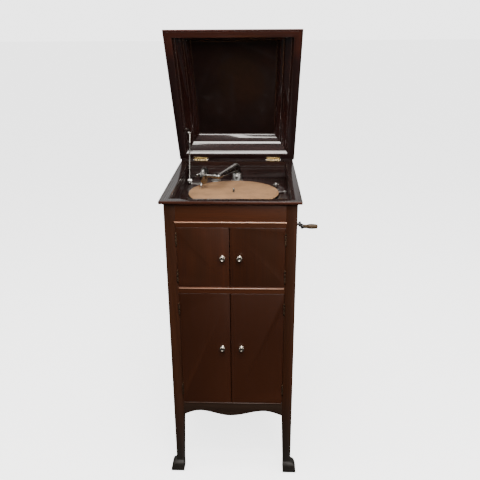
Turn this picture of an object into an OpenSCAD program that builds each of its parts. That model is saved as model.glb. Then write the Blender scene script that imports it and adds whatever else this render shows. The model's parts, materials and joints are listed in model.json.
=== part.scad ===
// Floor-standing gramophone cabinet, opened for play.
// A carcass of four corner posts on pad feet holds a turntable well with a spring motor
// under it, a folded wooden horn behind the upper doors and record slots behind the lower
// ones. The hinged lid is held open by a rod that slides through a swivelling guide.
// Cabinet coordinates: X to the right, Y to the rear from the front faces of the posts,
// Z up from the floor. place() then centres the object on its own box.

/* [Carcass] */
// Width over the corner posts
body_w = 404; // [392:1:420]
// Depth over the corner posts
body_d = 537; // [520:1:560]
// Height of the rim's top face above the floor
rim_top_z = 1007; // [995:1:1030]
// Side of a corner post
post = 34; // [32:1:40]
// Thickness of the side panels
side_t = 8; // [6:0.5:9]
// How far the side panels lie back from the faces of the posts
side_inset = 3; // [2:0.5:4]
// Thickness of the back panel
back_t = 10; // [8:0.5:12]
// How far the back panel lies in from the rear faces of the posts
back_inset = 4; // [2:0.5:5]
// Thickness of the front rails and of the apron
rail_t = 18; // [16:0.5:20]
// Thickness of the frieze board in front of the well
frieze_t = 11; // [9:0.5:12]
// Thickness of the shelf under the horn
shelf_t = 12; // [10:0.5:15]
// Thickness of the bottom board
bottom_t = 14; // [10:0.5:18]
// Height of the top edge of the middle rail
middle_rail_z = 722.5; // [712:0.5:730]
// Height of the middle rail's face
middle_rail_h = 23; // [20:0.5:28]
// Height of the head rail's face
head_rail_h = 12.5; // [10:0.5:16]

/* [Legs, feet and apron] */
// Height of the apron's top edge
apron_top_z = 287.4; // [280:0.2:300]
// Height of the apron's ends, where the legs start to taper
apron_end_z = 236; // [230:1:242]
// Height of the crowns of the apron's two arches
apron_arch_z = 254; // [248:1:260]
// Distance from the middle to each crown
apron_arch_x = 112; // [105:1:118]
// Height of the drop in the apron's middle
apron_drop_z = 234; // [228:1:242]
// How far to the left of the middle the apron's drop hangs
apron_mid_in = 9; // [0:1:12]
// How much a leg has tapered on its inner sides at the ankle
ankle_taper = 7; // [4:0.5:10]
// Height at which the foot starts to flare
ankle_z = 40; // [34:1:50]
// Height of the foot's shoulder, where it is all but at its widest
foot_z = 26; // [22:1:32]
// How far the foot flares out past the post at its side
foot_flare = 19.5; // [16:0.5:24]
// How far the foot stands out past the post at the front and the rear
foot_toe = 14; // [10:0.5:20]
// How far the foot's inner side lies in from the post's inner face
foot_inset = 7; // [4:1:12]
// Height of the rounding under a foot
foot_round = 8; // [4:1:9]

/* [Rim and well] */
// Overhang of the rim at the sides and the front
rim_over = 13; // [12:0.5:14]
// Overhang of the rim at the rear
rim_rear_over = 4; // [2:0.5:6]
// Thickness of the rim
rim_t = 16; // [14:0.5:20]
// Width of the rim's top face at the sides and the front
rim_face = 29; // [28:0.5:31]
// Width of the rim's top face at the rear
rim_rear_face = 22; // [20:0.5:24]
// Thickness of the boards that line the well
liner_t = 4; // [3:0.25:4.5]
// Depth of the well from the rim's top to the motor board
well_depth = 62; // [58:1:66]
// Thickness of the motor board
board_t = 12; // [10:0.5:14]
// Radius of the half-round beads on the front
bead_r = 2.2; // [1.6:0.1:2.6]
// How far the uppermost bead sits above the lower edge of the frieze
top_bead_up = 4; // [0:0.5:8]
// How far the beads run onto the posts at each end
bead_lap = 2; // [1:0.5:6]

/* [Doors and knobs] */
// Thickness of the doors
door_t = 18; // [16:0.5:20]
// Gap round each door
door_gap = 0.8; // [0.6:0.1:1.2]
// How far to the left of the middle the doors meet
door_meet_in = 4; // [0:0.5:6]
// Gap between the two doors where they meet
door_meet_gap = 2; // [1.6:0.1:3]
// Width of the lip along the meeting edge of the lower right door
lip_w = 7; // [5:0.5:9]
// Thickness of that lip
lip_t = 1.6; // [1.2:0.1:2]
// Height of the upper knobs
upper_knob_z = 821.5; // [800:0.5:840]
// Height of the lower knobs
lower_knob_z = 503; // [470:0.5:520]
// Distance of the upper knobs from the middle of the front
upper_knob_x = 26.5; // [24:0.5:34]
// Distance of the lower knobs from the middle of the front
lower_knob_x = 31; // [24:0.5:36]
// Diameter of a knob
knob_d = 18.5; // [16:0.5:22]
// How far a knob stands out from its door
knob_h = 14; // [12:0.5:19]

/* [Hinges] */
// Length of a door hinge
door_hinge_len = 40; // [32:1:46]
// Distance from the ends of a door to its hinges
door_hinge_end = 16; // [12:1:24]
// Length of a lid hinge
lid_hinge_len = 52; // [44:1:58]
// Distance from the rim's sides to the middle of each lid hinge
lid_hinge_in = 75; // [66:1:85]
// Distance from the ends of a lower door to its hinges
lower_hinge_end = 34; // [24:1:44]
// Width of a hinge leaf
leaf_w = 14; // [12:0.5:15]
// Thickness of a hinge leaf
leaf_t = 1.2; // [1:0.1:1.6]
// Radius of a hinge knuckle
knuckle_r = 2.5; // [2.2:0.1:2.8]
// Radius of a hinge pin
hinge_pin_r = 1.2; // [1:0.05:1.4]

/* [Lid] */
// Angle at which the lid stands open
lid_open = 58.4; // [50:0.2:64]
// Gap between the closed lid and the rim
lid_gap = 0.6; // [0.4:0.1:1]
// How far the lid's sides stand out past the rim
lid_over = 5; // [3:0.5:6]
// Width of the lid frame's lower face
lid_face = 26; // [24:0.5:27]
// Height of the lid frame
lid_frame_h = 26; // [24:0.5:30]
// Depth inside the lid from its lower face to the flat panel
lid_depth = 60; // [56:1:66]
// Thickness of the lid's flat panel
lid_panel_t = 12; // [8:0.5:14]
// Width of the sloping moulding round the flat panel
lid_slope_w = 52; // [48:1:56]

/* [Lid stay] */
// Distance of the stay from the inner face of the left side panel
stay_in = 19; // [17:0.5:22]
// Distance of the stay's two pivots from the lid's hinge line
stay_r = 130; // [126:0.5:134]
// Angle of the upper pivot above the lid's lower face
stay_lift = 4; // [3:0.5:6]
// Depth of the guide's pivot below the hinge line
stay_drop = 50; // [48:0.5:51]
// Radius of the stay rod
stay_rod_r = 2.4; // [2:0.1:2.8]

/* [Turntable and motor] */
// Distance from the front to the turntable's middle
spindle_y = 235; // [230:1:240]
// Radius of the turntable
platter_r = 152.4; // [148:0.2:154]
// Height of the platter's top above the motor board
platter_lift = 20; // [18:0.5:24]
// Depth of the platter's rim
platter_rim = 14; // [10:0.5:15]
// Thickness of the platter
platter_t = 3; // [2:0.25:4]
// Thickness of the felt
felt_t = 2; // [1.5:0.25:3]
// Radius of the spindle
spindle_r = 3.6; // [3.4:0.05:3.8]
// How far the spindle stands above the felt
spindle_tip = 13; // [10:0.5:16]
// Depth of the crank's shaft below the motor board's underside
crank_drop = 80; // [78:0.5:82]
// Depth of the motor's lower plate below the motor board's underside
motor_h = 120; // [118:1:124]
// Thickness of the motor's plates
plate_t = 4; // [3:0.25:5]
// Radius of the spring barrel
barrel_r = 42; // [38:0.5:42]
// Height of the spring barrel
barrel_h = 36; // [30:0.5:38]

/* [Gears] */
// Module of the spring train
spring_module = 1.5; // [1.4:0.05:1.5]
// Teeth on the spring barrel
barrel_teeth = 60; // [60]
// Teeth on the spindle's pinion
spindle_teeth = 16; // [16]
// Module of the governor train
governor_module = 1; // [0.9:0.05:1]
// Teeth on the spindle's governor wheel
wheel_teeth = 80; // [80]
// Teeth on the governor's pinion
governor_teeth = 10; // [10]
// Module of the winding gears
winding_module = 2; // [2]
// Teeth on the winding shaft's pinion
winding_teeth = 12; // [12]
// Teeth on the crown wheel of the spring arbor
crown_teeth = 30; // [30]

/* [Crank] */
// Radius of the winding shaft
shaft_r = 5; // [4.5:0.25:5.5]
// Length of the crank's arm between its two axes
crank_len = 110; // [100:1:120]
// Angle of the crank's arm above the forward direction
crank_angle = 15; // [0:1:40]
// Distance from the side panel to the crank's arm
crank_stand = 24; // [20:1:30]
// Thickness of the crank's arm
crank_arm_t = 7; // [6:0.5:8]
// Length of the wooden handle
handle_len = 36.5; // [30:0.5:44]
// Largest radius of the wooden handle
handle_r = 8.25; // [7:0.25:10]

/* [Tone arm and soundbox] */
// Distance from the carcass's back to the tone arm's upright axis
arm_in = 67; // [61:1:73]
// Distance of that axis to the right of the middle
arm_x = 2; // [0:0.5:4]
// Turn of the arm at rest from straight forward to the left
arm_turn = 15.2; // [12:0.2:18]
// Length of the arm from its upright axis to the soundbox's neck
arm_len = 209.7; // [200:0.5:214]
// Height of the arm's middle at the elbow, above the motor board
elbow_lift = 56; // [52:0.5:60]
// Height of the soundbox's middle above the felt
soundbox_lift = 45; // [43:0.5:48]
// Radius of the arm at the elbow
arm_rear_r = 14; // [12:0.5:15]
// Radius of the arm at its front end
arm_front_r = 8; // [7:0.5:9]
// Wall of the tubes
tube_wall = 1.5; // [1:0.1:2]
// Distance from the arm's middle line to the middle of the soundbox
neck_len = 50; // [46:0.5:54]
// Radius of the neck
neck_r = 5.5; // [5:0.25:6.5]
// Radius of the soundbox
soundbox_r = 29; // [26:0.5:30]
// Thickness of the soundbox
soundbox_t = 13; // [12:0.5:15]
// Lean of the needle from upright, forward
needle_lean = 22; // [15:1:26]

/* [Horn and record slots] */
// Thickness of the horn's walls
horn_wall = 6; // [5:0.5:8]
// Radius of the horn's throat hole
throat_r = 13; // [11:0.5:14]
// Number of louvres in the horn's mouth
louvres = 3; // [2:1:4]
// Thickness of a louvre
louvre_t = 7; // [5:0.5:9]
// Number of boards between the record slots
dividers = 3; // [2:1:4]
// Thickness of such a board
divider_t = 8; // [6:0.5:10]

/* [Hidden] */
$fn = 64;

wood_dark = [0.20, 0.10, 0.07];
wood_front = [0.30, 0.14, 0.09];
wood_inside = [0.24, 0.12, 0.08];
metal_bright = [0.75, 0.73, 0.70];
metal_dark = [0.22, 0.21, 0.20];
brass = [0.80, 0.66, 0.38];
steel = [0.55, 0.55, 0.56];

eps = 0.01;
fit = 0.05;      // radial clearance of a shaft in its bearing
clear = 0.3;     // gap between pieces that pass or hover over each other

// Levels
board_top = rim_top_z - well_depth;
board_bot = board_top - board_t;
rim_bot = rim_top_z - rim_t;
head_bot = board_bot - head_rail_h;
middle_bot = middle_rail_z - middle_rail_h;
shelf_top = middle_bot + middle_rail_h / 2 + shelf_t / 2;
bottom_top = apron_top_z - door_gap - 4;
felt_top = board_top + platter_lift + felt_t;

// Plan lines
post_in_x = body_w / 2 - post;
post_in_rear = body_d - post;
side_out_x = body_w / 2 - side_inset;
side_in_x = side_out_x - side_t;
back_in_y = body_d - back_inset - back_t;
rim_x = body_w / 2 + rim_over;
rim_front = -rim_over;
rim_rear = body_d + rim_rear_over;
well_x = rim_x - rim_face;
well_front = rim_front + rim_face;
well_rear = rim_rear - rim_rear_face;
board_x = side_in_x;
board_front = frieze_t;
board_rear = back_in_y;

// Hinge lines
hinge_out = knuckle_r + clear;
door_axis_x = post_in_x - door_gap / 2;
lid_axis_y = rim_rear + hinge_out;
lid_axis_z = rim_top_z + lid_gap / 2;
lid_hinge_x = rim_x - lid_hinge_in;

// Lid: its side edge, and the crown of its outer moulding, in from the edge and below the top
lid_x = rim_x + lid_over;
lid_top_h = lid_depth + lid_panel_t;
lid_crown_in = 50;
lid_crown_drop = 1;
lid_ledge = 4.5;
lid_edge = 0.3;
lid_cove = 16;

// Doors: [bottom, top] of the upper and the lower pair
upper_door = [middle_rail_z + door_gap, head_bot - door_gap];
lower_door = [apron_top_z + door_gap, middle_bot - door_gap];

// Stay: both pivots lie on one circle round the lid's hinge line, so that the rod turns
// by exactly half of the lid's angle
stay_x = side_in_x - stay_in;
stay_guide_y = lid_axis_y - sqrt(stay_r * stay_r - stay_drop * stay_drop);
stay_guide_z = lid_axis_z - stay_drop;
stay_pin_y = lid_axis_y - stay_r * cos(lid_open + stay_lift);
stay_pin_z = lid_axis_z + stay_r * sin(lid_open + stay_lift);
stay_len = norm([stay_pin_y - stay_guide_y, stay_pin_z - stay_guide_z]);
stay_tilt = atan2(stay_pin_y - stay_guide_y, stay_pin_z - stay_guide_z);

// Motor
crank_z = board_bot - crank_drop;
plate_z = board_bot - motor_h;
barrel_pitch_r = spring_module * barrel_teeth / 2;
spindle_pitch_r = spring_module * spindle_teeth / 2;
barrel_x = barrel_pitch_r + spindle_pitch_r;
wheel_pitch_r = governor_module * wheel_teeth / 2;
governor_pitch_r = governor_module * governor_teeth / 2;
governor_dist = wheel_pitch_r + governor_pitch_r;
governor_dir = 115;
governor_x = governor_dist * cos(governor_dir);
governor_y = spindle_y + governor_dist * sin(governor_dir);
crown_r = winding_module * crown_teeth / 2;
winding_pitch_r = winding_module * winding_teeth / 2;
pinion_x = barrel_x + crown_r;
gear_w = 8;
great_z = board_bot - plate_t - 6 - gear_w;
barrel_z = great_z - barrel_h;
wheel_z = plate_z + plate_t + 8;
plate_margin = 20;
governor_margin = 30;

// Tone arm, in its own coordinates: -Y along the arm, -X towards the soundbox
elbow_z = board_top + elbow_lift;
soundbox_z = felt_top + soundbox_lift;
elbow_r = 16;
elbow_swell = 0.5;
bend_z = elbow_z - elbow_r;
bend_reach = norm([arm_len - elbow_r, soundbox_z - bend_z]);
elbow_turn = 180 - atan2(soundbox_z - bend_z, arm_len - elbow_r) - acos(elbow_r / bend_reach);
taper_len = sqrt(bend_reach * bend_reach - elbow_r * elbow_r);
bracket_top = board_top + 30;
record_room = 2.3;
needle_reach = (soundbox_lift - record_room) / cos(needle_lean);

// Crank
crank_x = side_out_x + crank_stand;
grip_y = spindle_y - crank_len * cos(crank_angle);
grip_z = crank_z + crank_len * sin(crank_angle);
grip_x = crank_x + crank_arm_t;
ferrule_len = 8.7;
grip_bore = ferrule_len + handle_len - 1.7;
grip_end = grip_x + clear + grip_bore + 3.7;

// Small parts of fixed size
stay_pin_r = 2;
stay_collar_r = 4;
stay_end = 10.5;
lever_pin_r = 3;
arbor_r = 4;
governor_r = 2;
grip_pin_r = 3;
cup_r = 19;
needle_cup_x = -76;
arm_y = body_d - arm_in;
needle_cup_y = arm_y - 17;
function spindle_body_r() = spindle_r + 1.4;
function collar_r() = spindle_r + 0.6;
function bush_r() = shaft_r + 3;
function brake_x() = well_x - 10;
function brake_y() = spindle_y + 58;
function speed_x() = well_x - 39;
function speed_y() = spindle_y + 170;

// Shift from cabinet coordinates to the middle of the whole object's box
box_left = -max(body_w / 2 + foot_flare, lid_x);
box_right = grip_end;
box_front = -max(foot_toe, knob_h, rim_over);
box_rear = lid_axis_y + sin(lid_open) * (lid_top_h - lid_crown_drop + lid_gap / 2)
    - cos(lid_open) * (lid_crown_in + hinge_out);
shift_x = -(box_left + box_right) / 2;
shift_y = -(box_front + box_rear) / 2;

module place() {
    translate([shift_x, shift_y, 0]) children();
}

// A box from its two corners
module block(low, high) {
    translate(low) cube(high - low);
}

// Carries a piece of the lid from its closed place to its open one
module opened_lid() {
    translate([0, lid_axis_y, lid_axis_z])
        rotate([-lid_open, 0, 0])
            translate([0, -lid_axis_y, -lid_axis_z]) children();
}

// A block with one outline on all four sides, so that its corners are mitred:
// each point is [distance in from the sides, height], from the lowest up
module outlined_block(left, front, right, rear, outline) {
    last = len(outline) - 1;
    back = [for (i = [last : -1 : 0]) outline[i]];
    intersection() {
        translate([0, rear + 1, 0]) rotate([90, 0, 0]) linear_extrude(rear - front + 2)
            polygon(concat([for (p = outline) [left + p[0], p[1]]],
                           [for (p = back) [right - p[0], p[1]]]));
        translate([left - 1, 0, 0]) rotate([90, 0, 90]) linear_extrude(right - left + 2)
            polygon(concat([for (p = outline) [front + p[0], p[1]]],
                           [for (p = back) [rear - p[0], p[1]]]));
    }
}

// Outline of a gear's teeth, the first at the given turn
module gear_outline(teeth, gear_module, turn = 0) {
    pitch_r = teeth * gear_module / 2;
    step = 360 / teeth;
    tip = pitch_r + 0.85 * gear_module;
    root = pitch_r - 1.15 * gear_module;
    corners = [[root, -0.33], [pitch_r, -0.22], [tip, -0.1], [tip, 0.1], [pitch_r, 0.22], [root, 0.33]];
    rotate(turn) polygon([
        for (i = [0 : teeth - 1])
            for (c = corners)
                c[0] * [cos((i + c[1]) * step), sin((i + c[1]) * step)]
    ]);
}

// ---------------------------------------------------------------- carcass

// Outline of a leg: outer side at x = 0, inner side towards +x, foot standing out by flare
function leg_outline(top, flare) = [
    [0, top], [0, ankle_z],
    for (a = [15 : 15 : 90])
        [-flare * 0.8 * sin(a), ankle_z - (ankle_z - foot_z) * (0.35 * sin(a) + 0.65 * (1 - cos(a)))],
    [-flare * 0.93, foot_z * 0.65], [-flare, foot_z * 0.35],
    for (a = [0 : 30 : 90]) [-flare + foot_round * (1 - cos(a)), foot_round * (1 - sin(a))],
    for (a = [90 : -30 : 0]) [foot_inner() - 4 * (1 - cos(a)), 4 * (1 - sin(a))],
    [foot_inner(), foot_z], [post - ankle_taper, ankle_z], [post, apron_end_z], [post, top]
];
function foot_inner() = post - foot_inset;

// A corner post with its leg and foot, its outer edge at the origin and inwards on +X, +Y.
// A shoulder carries the motor board and leaves the well's corner clear.
module corner_post(board_edge_y) {
    color(wood_dark) difference() {
        intersection() {
            translate([0, 2 * post, 0]) rotate([90, 0, 0])
                linear_extrude(4 * post) polygon(leg_outline(rim_bot, foot_flare));
            translate([-2 * post, 0, 0]) rotate([90, 0, 90])
                linear_extrude(4 * post) polygon(leg_outline(rim_bot, foot_toe));
        }
        translate([body_w / 2 - board_x, board_edge_y, board_bot])
            cube([post, post, rim_top_z]);
    }
}

// Pockets for the fixed leaves of a post's door hinges; side is -1 left, 1 right
module post_leaf_pockets(side) {
    for (z = door_hinge_zs())
        translate([side * door_axis_x, -hinge_out, z]) leaf_plate(door_hinge_len, side, door_gap);
}

module front_left_post() {
    place() difference() {
        translate([-body_w / 2, 0, 0]) corner_post(board_front);
        post_leaf_pockets(-1);
    }
}

module front_right_post() {
    place() difference() {
        translate([body_w / 2, 0, 0]) mirror([1, 0, 0]) corner_post(board_front);
        post_leaf_pockets(1);
    }
}

module rear_left_post() {
    place() translate([-body_w / 2, body_d, 0])
        mirror([0, 1, 0]) corner_post(body_d - board_rear);
}

module rear_right_post() {
    place() translate([body_w / 2, body_d, 0])
        mirror([0, 1, 0]) mirror([1, 0, 0]) corner_post(body_d - board_rear);
}

// Arched lower edge shared by the apron and the side panels, from one end to the other;
// half is half of the length, mid is where the drop hangs
function arched_edge(half, mid = 0, steps = 24) = [
    for (i = [0 : steps])
        let (x = -half + 2 * half * i / steps, reach = x < mid ? half + mid : half - mid)
        [x, edge_height(abs(x - mid) / reach)]
];
// Height of that edge at a share of the half length, 0 in the middle
function edge_height(s) =
    let (crown = apron_arch_x / post_in_x)
    s < crown
        ? apron_drop_z + (apron_arch_z - apron_drop_z) * (1 - cos(180 * s / crown)) / 2
        : apron_arch_z - (apron_arch_z - apron_end_z) * pow((s - crown) / (1 - crown), 1.6);

// A side panel between the posts, with its arched lower edge
module side_panel(x_low) {
    half = (body_d - 2 * post) / 2;
    color(wood_front) translate([x_low, post + half, 0]) rotate([90, 0, 90])
        linear_extrude(side_t)
            polygon(concat(arched_edge(half), [[half, rim_bot], [-half, rim_bot]]));
}

module left_side_panel() {
    place() side_panel(-side_out_x);
}

module right_side_panel() {
    place() difference() {
        side_panel(side_in_x);
        translate([side_in_x - 1, spindle_y, crank_z]) rotate([0, 90, 0])
            cylinder(h = side_t + 2, r = bush_r());
    }
}

module back_panel() {
    color(wood_inside) place()
        block([-post_in_x, back_in_y, apron_arch_z], [post_in_x, back_in_y + back_t, rim_bot]);
}

// A board that fits between the panels and round the posts
module carcass_board(low_z, high_z, front_y) {
    block([-post_in_x, front_y, low_z], [post_in_x, back_in_y, high_z]);
    block([-side_in_x, post, low_z], [side_in_x, post_in_rear, high_z]);
}

module bottom_board() {
    color(wood_inside) place()
        carcass_board(bottom_top - bottom_t, bottom_top, rail_t);
}

module horn_shelf() {
    color(wood_inside) place() carcass_board(shelf_top - shelf_t, shelf_top, rail_t);
}

// The motor board, which rests on the shoulders of the posts
module motor_board() {
    color(wood_front) place() difference() {
        block([-board_x, board_front, board_bot], [board_x, board_rear, board_top]);
        translate([0, spindle_y, board_bot - 1])
            cylinder(h = board_t + 2, r = spindle_body_r() + 6);
        translate([arm_x, arm_y, board_bot - 1]) cylinder(h = board_t + 2, r = throat_r);
        stay_slot();
        for (spot = [[brake_x(), brake_y()], [speed_x(), speed_y()]])
            translate([spot[0], spot[1], board_bot - 1])
                cylinder(h = board_t + 2, r = lever_pin_r + fit);
    }
}

// Slot in the motor board through which the stay rod sinks as the lid closes
module stay_slot() {
    low = stay_guide_y - 9;
    high = stay_guide_y + 5;
    for (y = [low, high])
        translate([-stay_x, y, board_bot - 1]) cylinder(h = board_t + 2, r = stay_collar_r + 1);
    block([-stay_x - stay_collar_r - 1, low, board_bot - 1],
          [-stay_x + stay_collar_r + 1, high, board_top + 1]);
}

// Four boards round the well, with two fine moulding lines under the rim
module well_liner() {
    color(wood_front) place() difference() {
        block([-board_x, board_front, board_top], [board_x, board_rear, rim_bot]);
        block([-well_x, well_front, board_top - 1], [well_x, well_rear, rim_bot + 1]);
        for (z = [rim_bot - 2.5, rim_bot - 12])
            translate([0, 0, z])
                block([-well_x - 0.8, well_front - 0.8, -0.6], [well_x + 0.8, well_rear + 0.8, 0.6]);
    }
}

// The rim: a flat frame with an ovolo and a cove on its sides and front, and a bead along
// the lid's hinge line that closes the gap between the hinges
module top_rim() {
    outline = [
        for (a = [90 : -15 : 0]) [rim_over * (6 + 7 * sin(a)) / 13, rim_t * 0.34 * cos(a)],
        for (a = [90 : -15 : 0]) [4 * (1 - cos(a)), rim_t * 0.6 - 4 * sin(a)],
        [0, rim_t - 1.5], [0.45, rim_t - 0.45], [1.5, rim_t]
    ];
    color(wood_front) place() difference() {
        union() {
            difference() {
                translate([0, 0, rim_bot])
                    outlined_block(-rim_x, rim_front, rim_x, rim_rear + rim_over, outline);
                block([-rim_x - 1, rim_rear, rim_bot - 1],
                      [rim_x + 1, rim_rear + rim_over + 1, rim_top_z + 1]);
            }
            rim_bead();
        }
        block([-well_x, well_front, rim_bot - 1], [well_x, well_rear, rim_top_z + 1]);
        for (side = [-1, 1]) rim_hinge_place(side) leaf_plate(lid_hinge_len, -1, lid_gap);
    }
}

// That bead, which leaves the hinges free
module rim_bead() {
    room = lid_hinge_len / 2 + 1.5;
    difference() {
        union() {
            translate([-rim_x, lid_axis_y, lid_axis_z]) rotate([0, 90, 0])
                cylinder(h = 2 * rim_x, r = knuckle_r);
            block([-rim_x, rim_rear, lid_axis_z - knuckle_r], [rim_x, lid_axis_y, rim_top_z]);
        }
        for (side = [-1, 1])
            block([side * lid_hinge_x - room, rim_rear, lid_axis_z - knuckle_r - 1],
                  [side * lid_hinge_x + room, lid_axis_y + knuckle_r + 1, lid_axis_z + knuckle_r + 1]);
    }
}

// The frieze board, the head rail and the middle rail
module front_rails() {
    color(wood_front) place() {
        block([-post_in_x, 0, board_bot], [post_in_x, frieze_t, rim_bot]);
        block([-post_in_x, 0, head_bot], [post_in_x, rail_t, board_bot]);
        block([-post_in_x, 0, middle_bot], [post_in_x, rail_t, middle_rail_z]);
    }
}

module front_apron() {
    color(wood_front) place() translate([0, rail_t, 0]) rotate([90, 0, 0])
        linear_extrude(rail_t)
            polygon(concat(arched_edge(post_in_x, -apron_mid_in),
                           [[post_in_x, apron_top_z], [-post_in_x, apron_top_z]]));
}

// A half-round bead across the front, half is half of its length
module front_bead(z, half) {
    translate([0, 0, z]) difference() {
        translate([-half, 0, 0]) rotate([0, 90, 0]) cylinder(h = 2 * half, r = bead_r);
        block([-half - 1, 0, -bead_r - 1], [half + 1, bead_r + 1, bead_r + 1]);
    }
}

// Three beads, of which the uppermost laps over the posts
module front_beads() {
    color(wood_front) place() {
        front_bead(board_bot + top_bead_up, post_in_x + bead_lap);
        front_bead(middle_bot + middle_rail_h * 0.76, post_in_x - bead_r);
        front_bead(apron_top_z - bead_r, post_in_x - bead_r);
    }
}

// ---------------------------------------------------------------- horn and slots

// Side outline of the horn: out is the wall's share, 1 on the outside, 0 on the inside
function horn_side(out) =
    let (v = horn_wall * (1 - out), over = out == 1 ? 0 : 1,
         low = shelf_top, front = out == 1 ? rail_t + door_gap : rail_t - 1,
         rear = horn_rear_y(), top = head_bot - 3, roof = plate_z - 16,
         mouth_low = low + v, mouth_high = top - v)
    [
        [front, mouth_low], [rear - 60, mouth_low],
        for (a = [0 : 15 : 90]) [rear - 60 + (60 - v) * sin(a), mouth_low + 70 * (1 - cos(a))],
        [rear - v, board_bot + over], [throat_front_y() + v, board_bot + over],
        for (a = [90 : -15 : 0])
            [throat_front_y() + v - 26 * (1 - sin(a)), roof - v + 26 * (1 - cos(a))],
        for (s = [0 : 0.1 : 1])
            let (y = horn_bend_y() - (horn_bend_y() - front) * s)
            [y, roof - v + (mouth_high - roof + v) * pow(s, 2.6)]
    ];
function horn_bend_y() = spindle_y + 15;
function horn_rear_y() = arm_y + throat_r + horn_wall + 3;
function throat_front_y() = arm_y - throat_r - horn_wall - 3;

// Plan of the horn, widening from the throat to the mouth
function horn_plan(out) =
    let (v = horn_wall * (1 - out), front = out == 1 ? rail_t + door_gap : rail_t - 1,
         narrow = throat_r + horn_wall + 3 - v, wide = post_in_x - 6 - v)
    [
        for (s = [0 : 0.1 : 1])
            let (y = front + (throat_front_y() - front) * s)
            [wide - (wide - narrow) * pow(s, 1.15), y],
        [narrow, horn_rear_y() - v], [-narrow, horn_rear_y() - v],
        for (s = [1 : -0.1 : 0])
            let (y = front + (throat_front_y() - front) * s)
            [-wide + (wide - narrow) * pow(s, 1.15), y]
    ];

module horn_solid(out) {
    intersection() {
        translate([-body_w, 0, 0]) rotate([90, 0, 90])
            linear_extrude(2 * body_w) polygon(horn_side(out));
        linear_extrude(rim_top_z) polygon(horn_plan(out));
    }
}

// The folded wooden horn, from the throat under the tone arm to the mouth at the front
module horn() {
    color(wood_inside) place() difference() {
        horn_solid(1);
        horn_solid(0);
    }
}

// Tilted slats across the mouth, cut to the horn's inner walls
module horn_louvres() {
    low = shelf_top + horn_wall;
    high = head_bot - 3 - horn_wall;
    color(wood_front) place() intersection() {
        horn_solid(0);
        for (i = [1 : louvres])
            translate([-body_w / 2, rail_t + 16, low + (high - low) * i / (louvres + 1)])
                rotate([24, 0, 0])
                    translate([0, -11, -louvre_t / 2]) cube([body_w, 24, louvre_t]);
    }
}

// Upright boards between the record slots
module record_dividers() {
    step = 2 * post_in_x / (dividers + 1);
    color(wood_inside) place() for (i = [1 : dividers])
        translate([-post_in_x + i * step - divider_t / 2, post + 4, bottom_top])
            cube([divider_t, back_in_y - post - 4, shelf_top - shelf_t - bottom_top]);
}

// ---------------------------------------------------------------- hinges

// Heights at which the door hinges start
function door_hinge_zs() = [
    upper_door[0] + door_hinge_end, upper_door[1] - door_hinge_end - door_hinge_len,
    lower_door[0] + lower_hinge_end, lower_door[1] - lower_hinge_end - door_hinge_len
];

// The plate of a leaf beside the hinge's axis, which runs up from the origin
module leaf_plate(len, side, gap) {
    translate([side > 0 ? gap / 2 : -gap / 2 - leaf_t, hinge_out, 0])
        cube([leaf_t, leaf_w - hinge_out, len]);
}

// A leaf with every second knuckle, from the given one on
module hinge_leaf(len, side, gap, first) {
    knuckle = len / 5;
    difference() {
        union() {
            leaf_plate(len, side, gap);
            for (i = [first : 2 : 4]) {
                low = i * knuckle + (i == 0 ? 0 : clear / 2);
                high = (i + 1) * knuckle - (i == 4 ? 0 : clear / 2);
                translate([0, 0, low]) cylinder(h = high - low, r = knuckle_r);
                translate([side > 0 ? gap / 2 : -gap / 2 - leaf_t, 0, low])
                    cube([leaf_t, hinge_out, high - low]);
            }
        }
        translate([0, 0, -1]) cylinder(h = len + 2, r = hinge_pin_r + fit);
    }
}

// Carries a lid hinge to its place on the closed lid: its axis along +X, its leaves forward
module rim_hinge_place(side) {
    translate([side * lid_hinge_x - lid_hinge_len / 2, lid_axis_y, lid_axis_z])
        rotate([180, 0, 0]) rotate([0, 90, 0]) children();
}

// The leaves that are let into the posts and into the rim
module fixed_hinge_leaves() {
    color(brass) place() {
        for (side = [-1, 1]) {
            for (z = door_hinge_zs())
                translate([side * door_axis_x, -hinge_out, z])
                    hinge_leaf(door_hinge_len, side, door_gap, 0);
            rim_hinge_place(side) hinge_leaf(lid_hinge_len, -1, lid_gap, 0);
        }
    }
}

// A hinge pin with a small head at each end
module hinge_pin(len) {
    cylinder(h = len, r = hinge_pin_r);
    for (z = [-0.8, len]) translate([0, 0, z]) cylinder(h = 0.8, r = knuckle_r - 0.4);
}

// The pins of all the hinges
module hinge_pins() {
    color(brass) place() for (side = [-1, 1]) {
        for (z = door_hinge_zs())
            translate([side * door_axis_x, -hinge_out, z]) hinge_pin(door_hinge_len);
        rim_hinge_place(side) hinge_pin(lid_hinge_len);
    }
}

// A door's own leaves; side is -1 left, 1 right; pair is 0 upper, 1 lower
module door_leaves(side, pair) {
    zs = door_hinge_zs();
    color(brass) place() for (i = [0, 1])
        translate([side * door_axis_x, -hinge_out, zs[2 * pair + i]])
            hinge_leaf(door_hinge_len, -side, door_gap, 1);
}

module upper_left_hinge_leaves() {
    door_leaves(-1, 0);
}

module upper_right_hinge_leaves() {
    door_leaves(1, 0);
}

module lower_left_hinge_leaves() {
    door_leaves(-1, 1);
}

module lower_right_hinge_leaves() {
    door_leaves(1, 1);
}

module lid_hinge_leaves() {
    color(brass) place() opened_lid() for (side = [-1, 1])
        rim_hinge_place(side) hinge_leaf(lid_hinge_len, 1, lid_gap, 1);
}

// ---------------------------------------------------------------- doors and knobs

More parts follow.
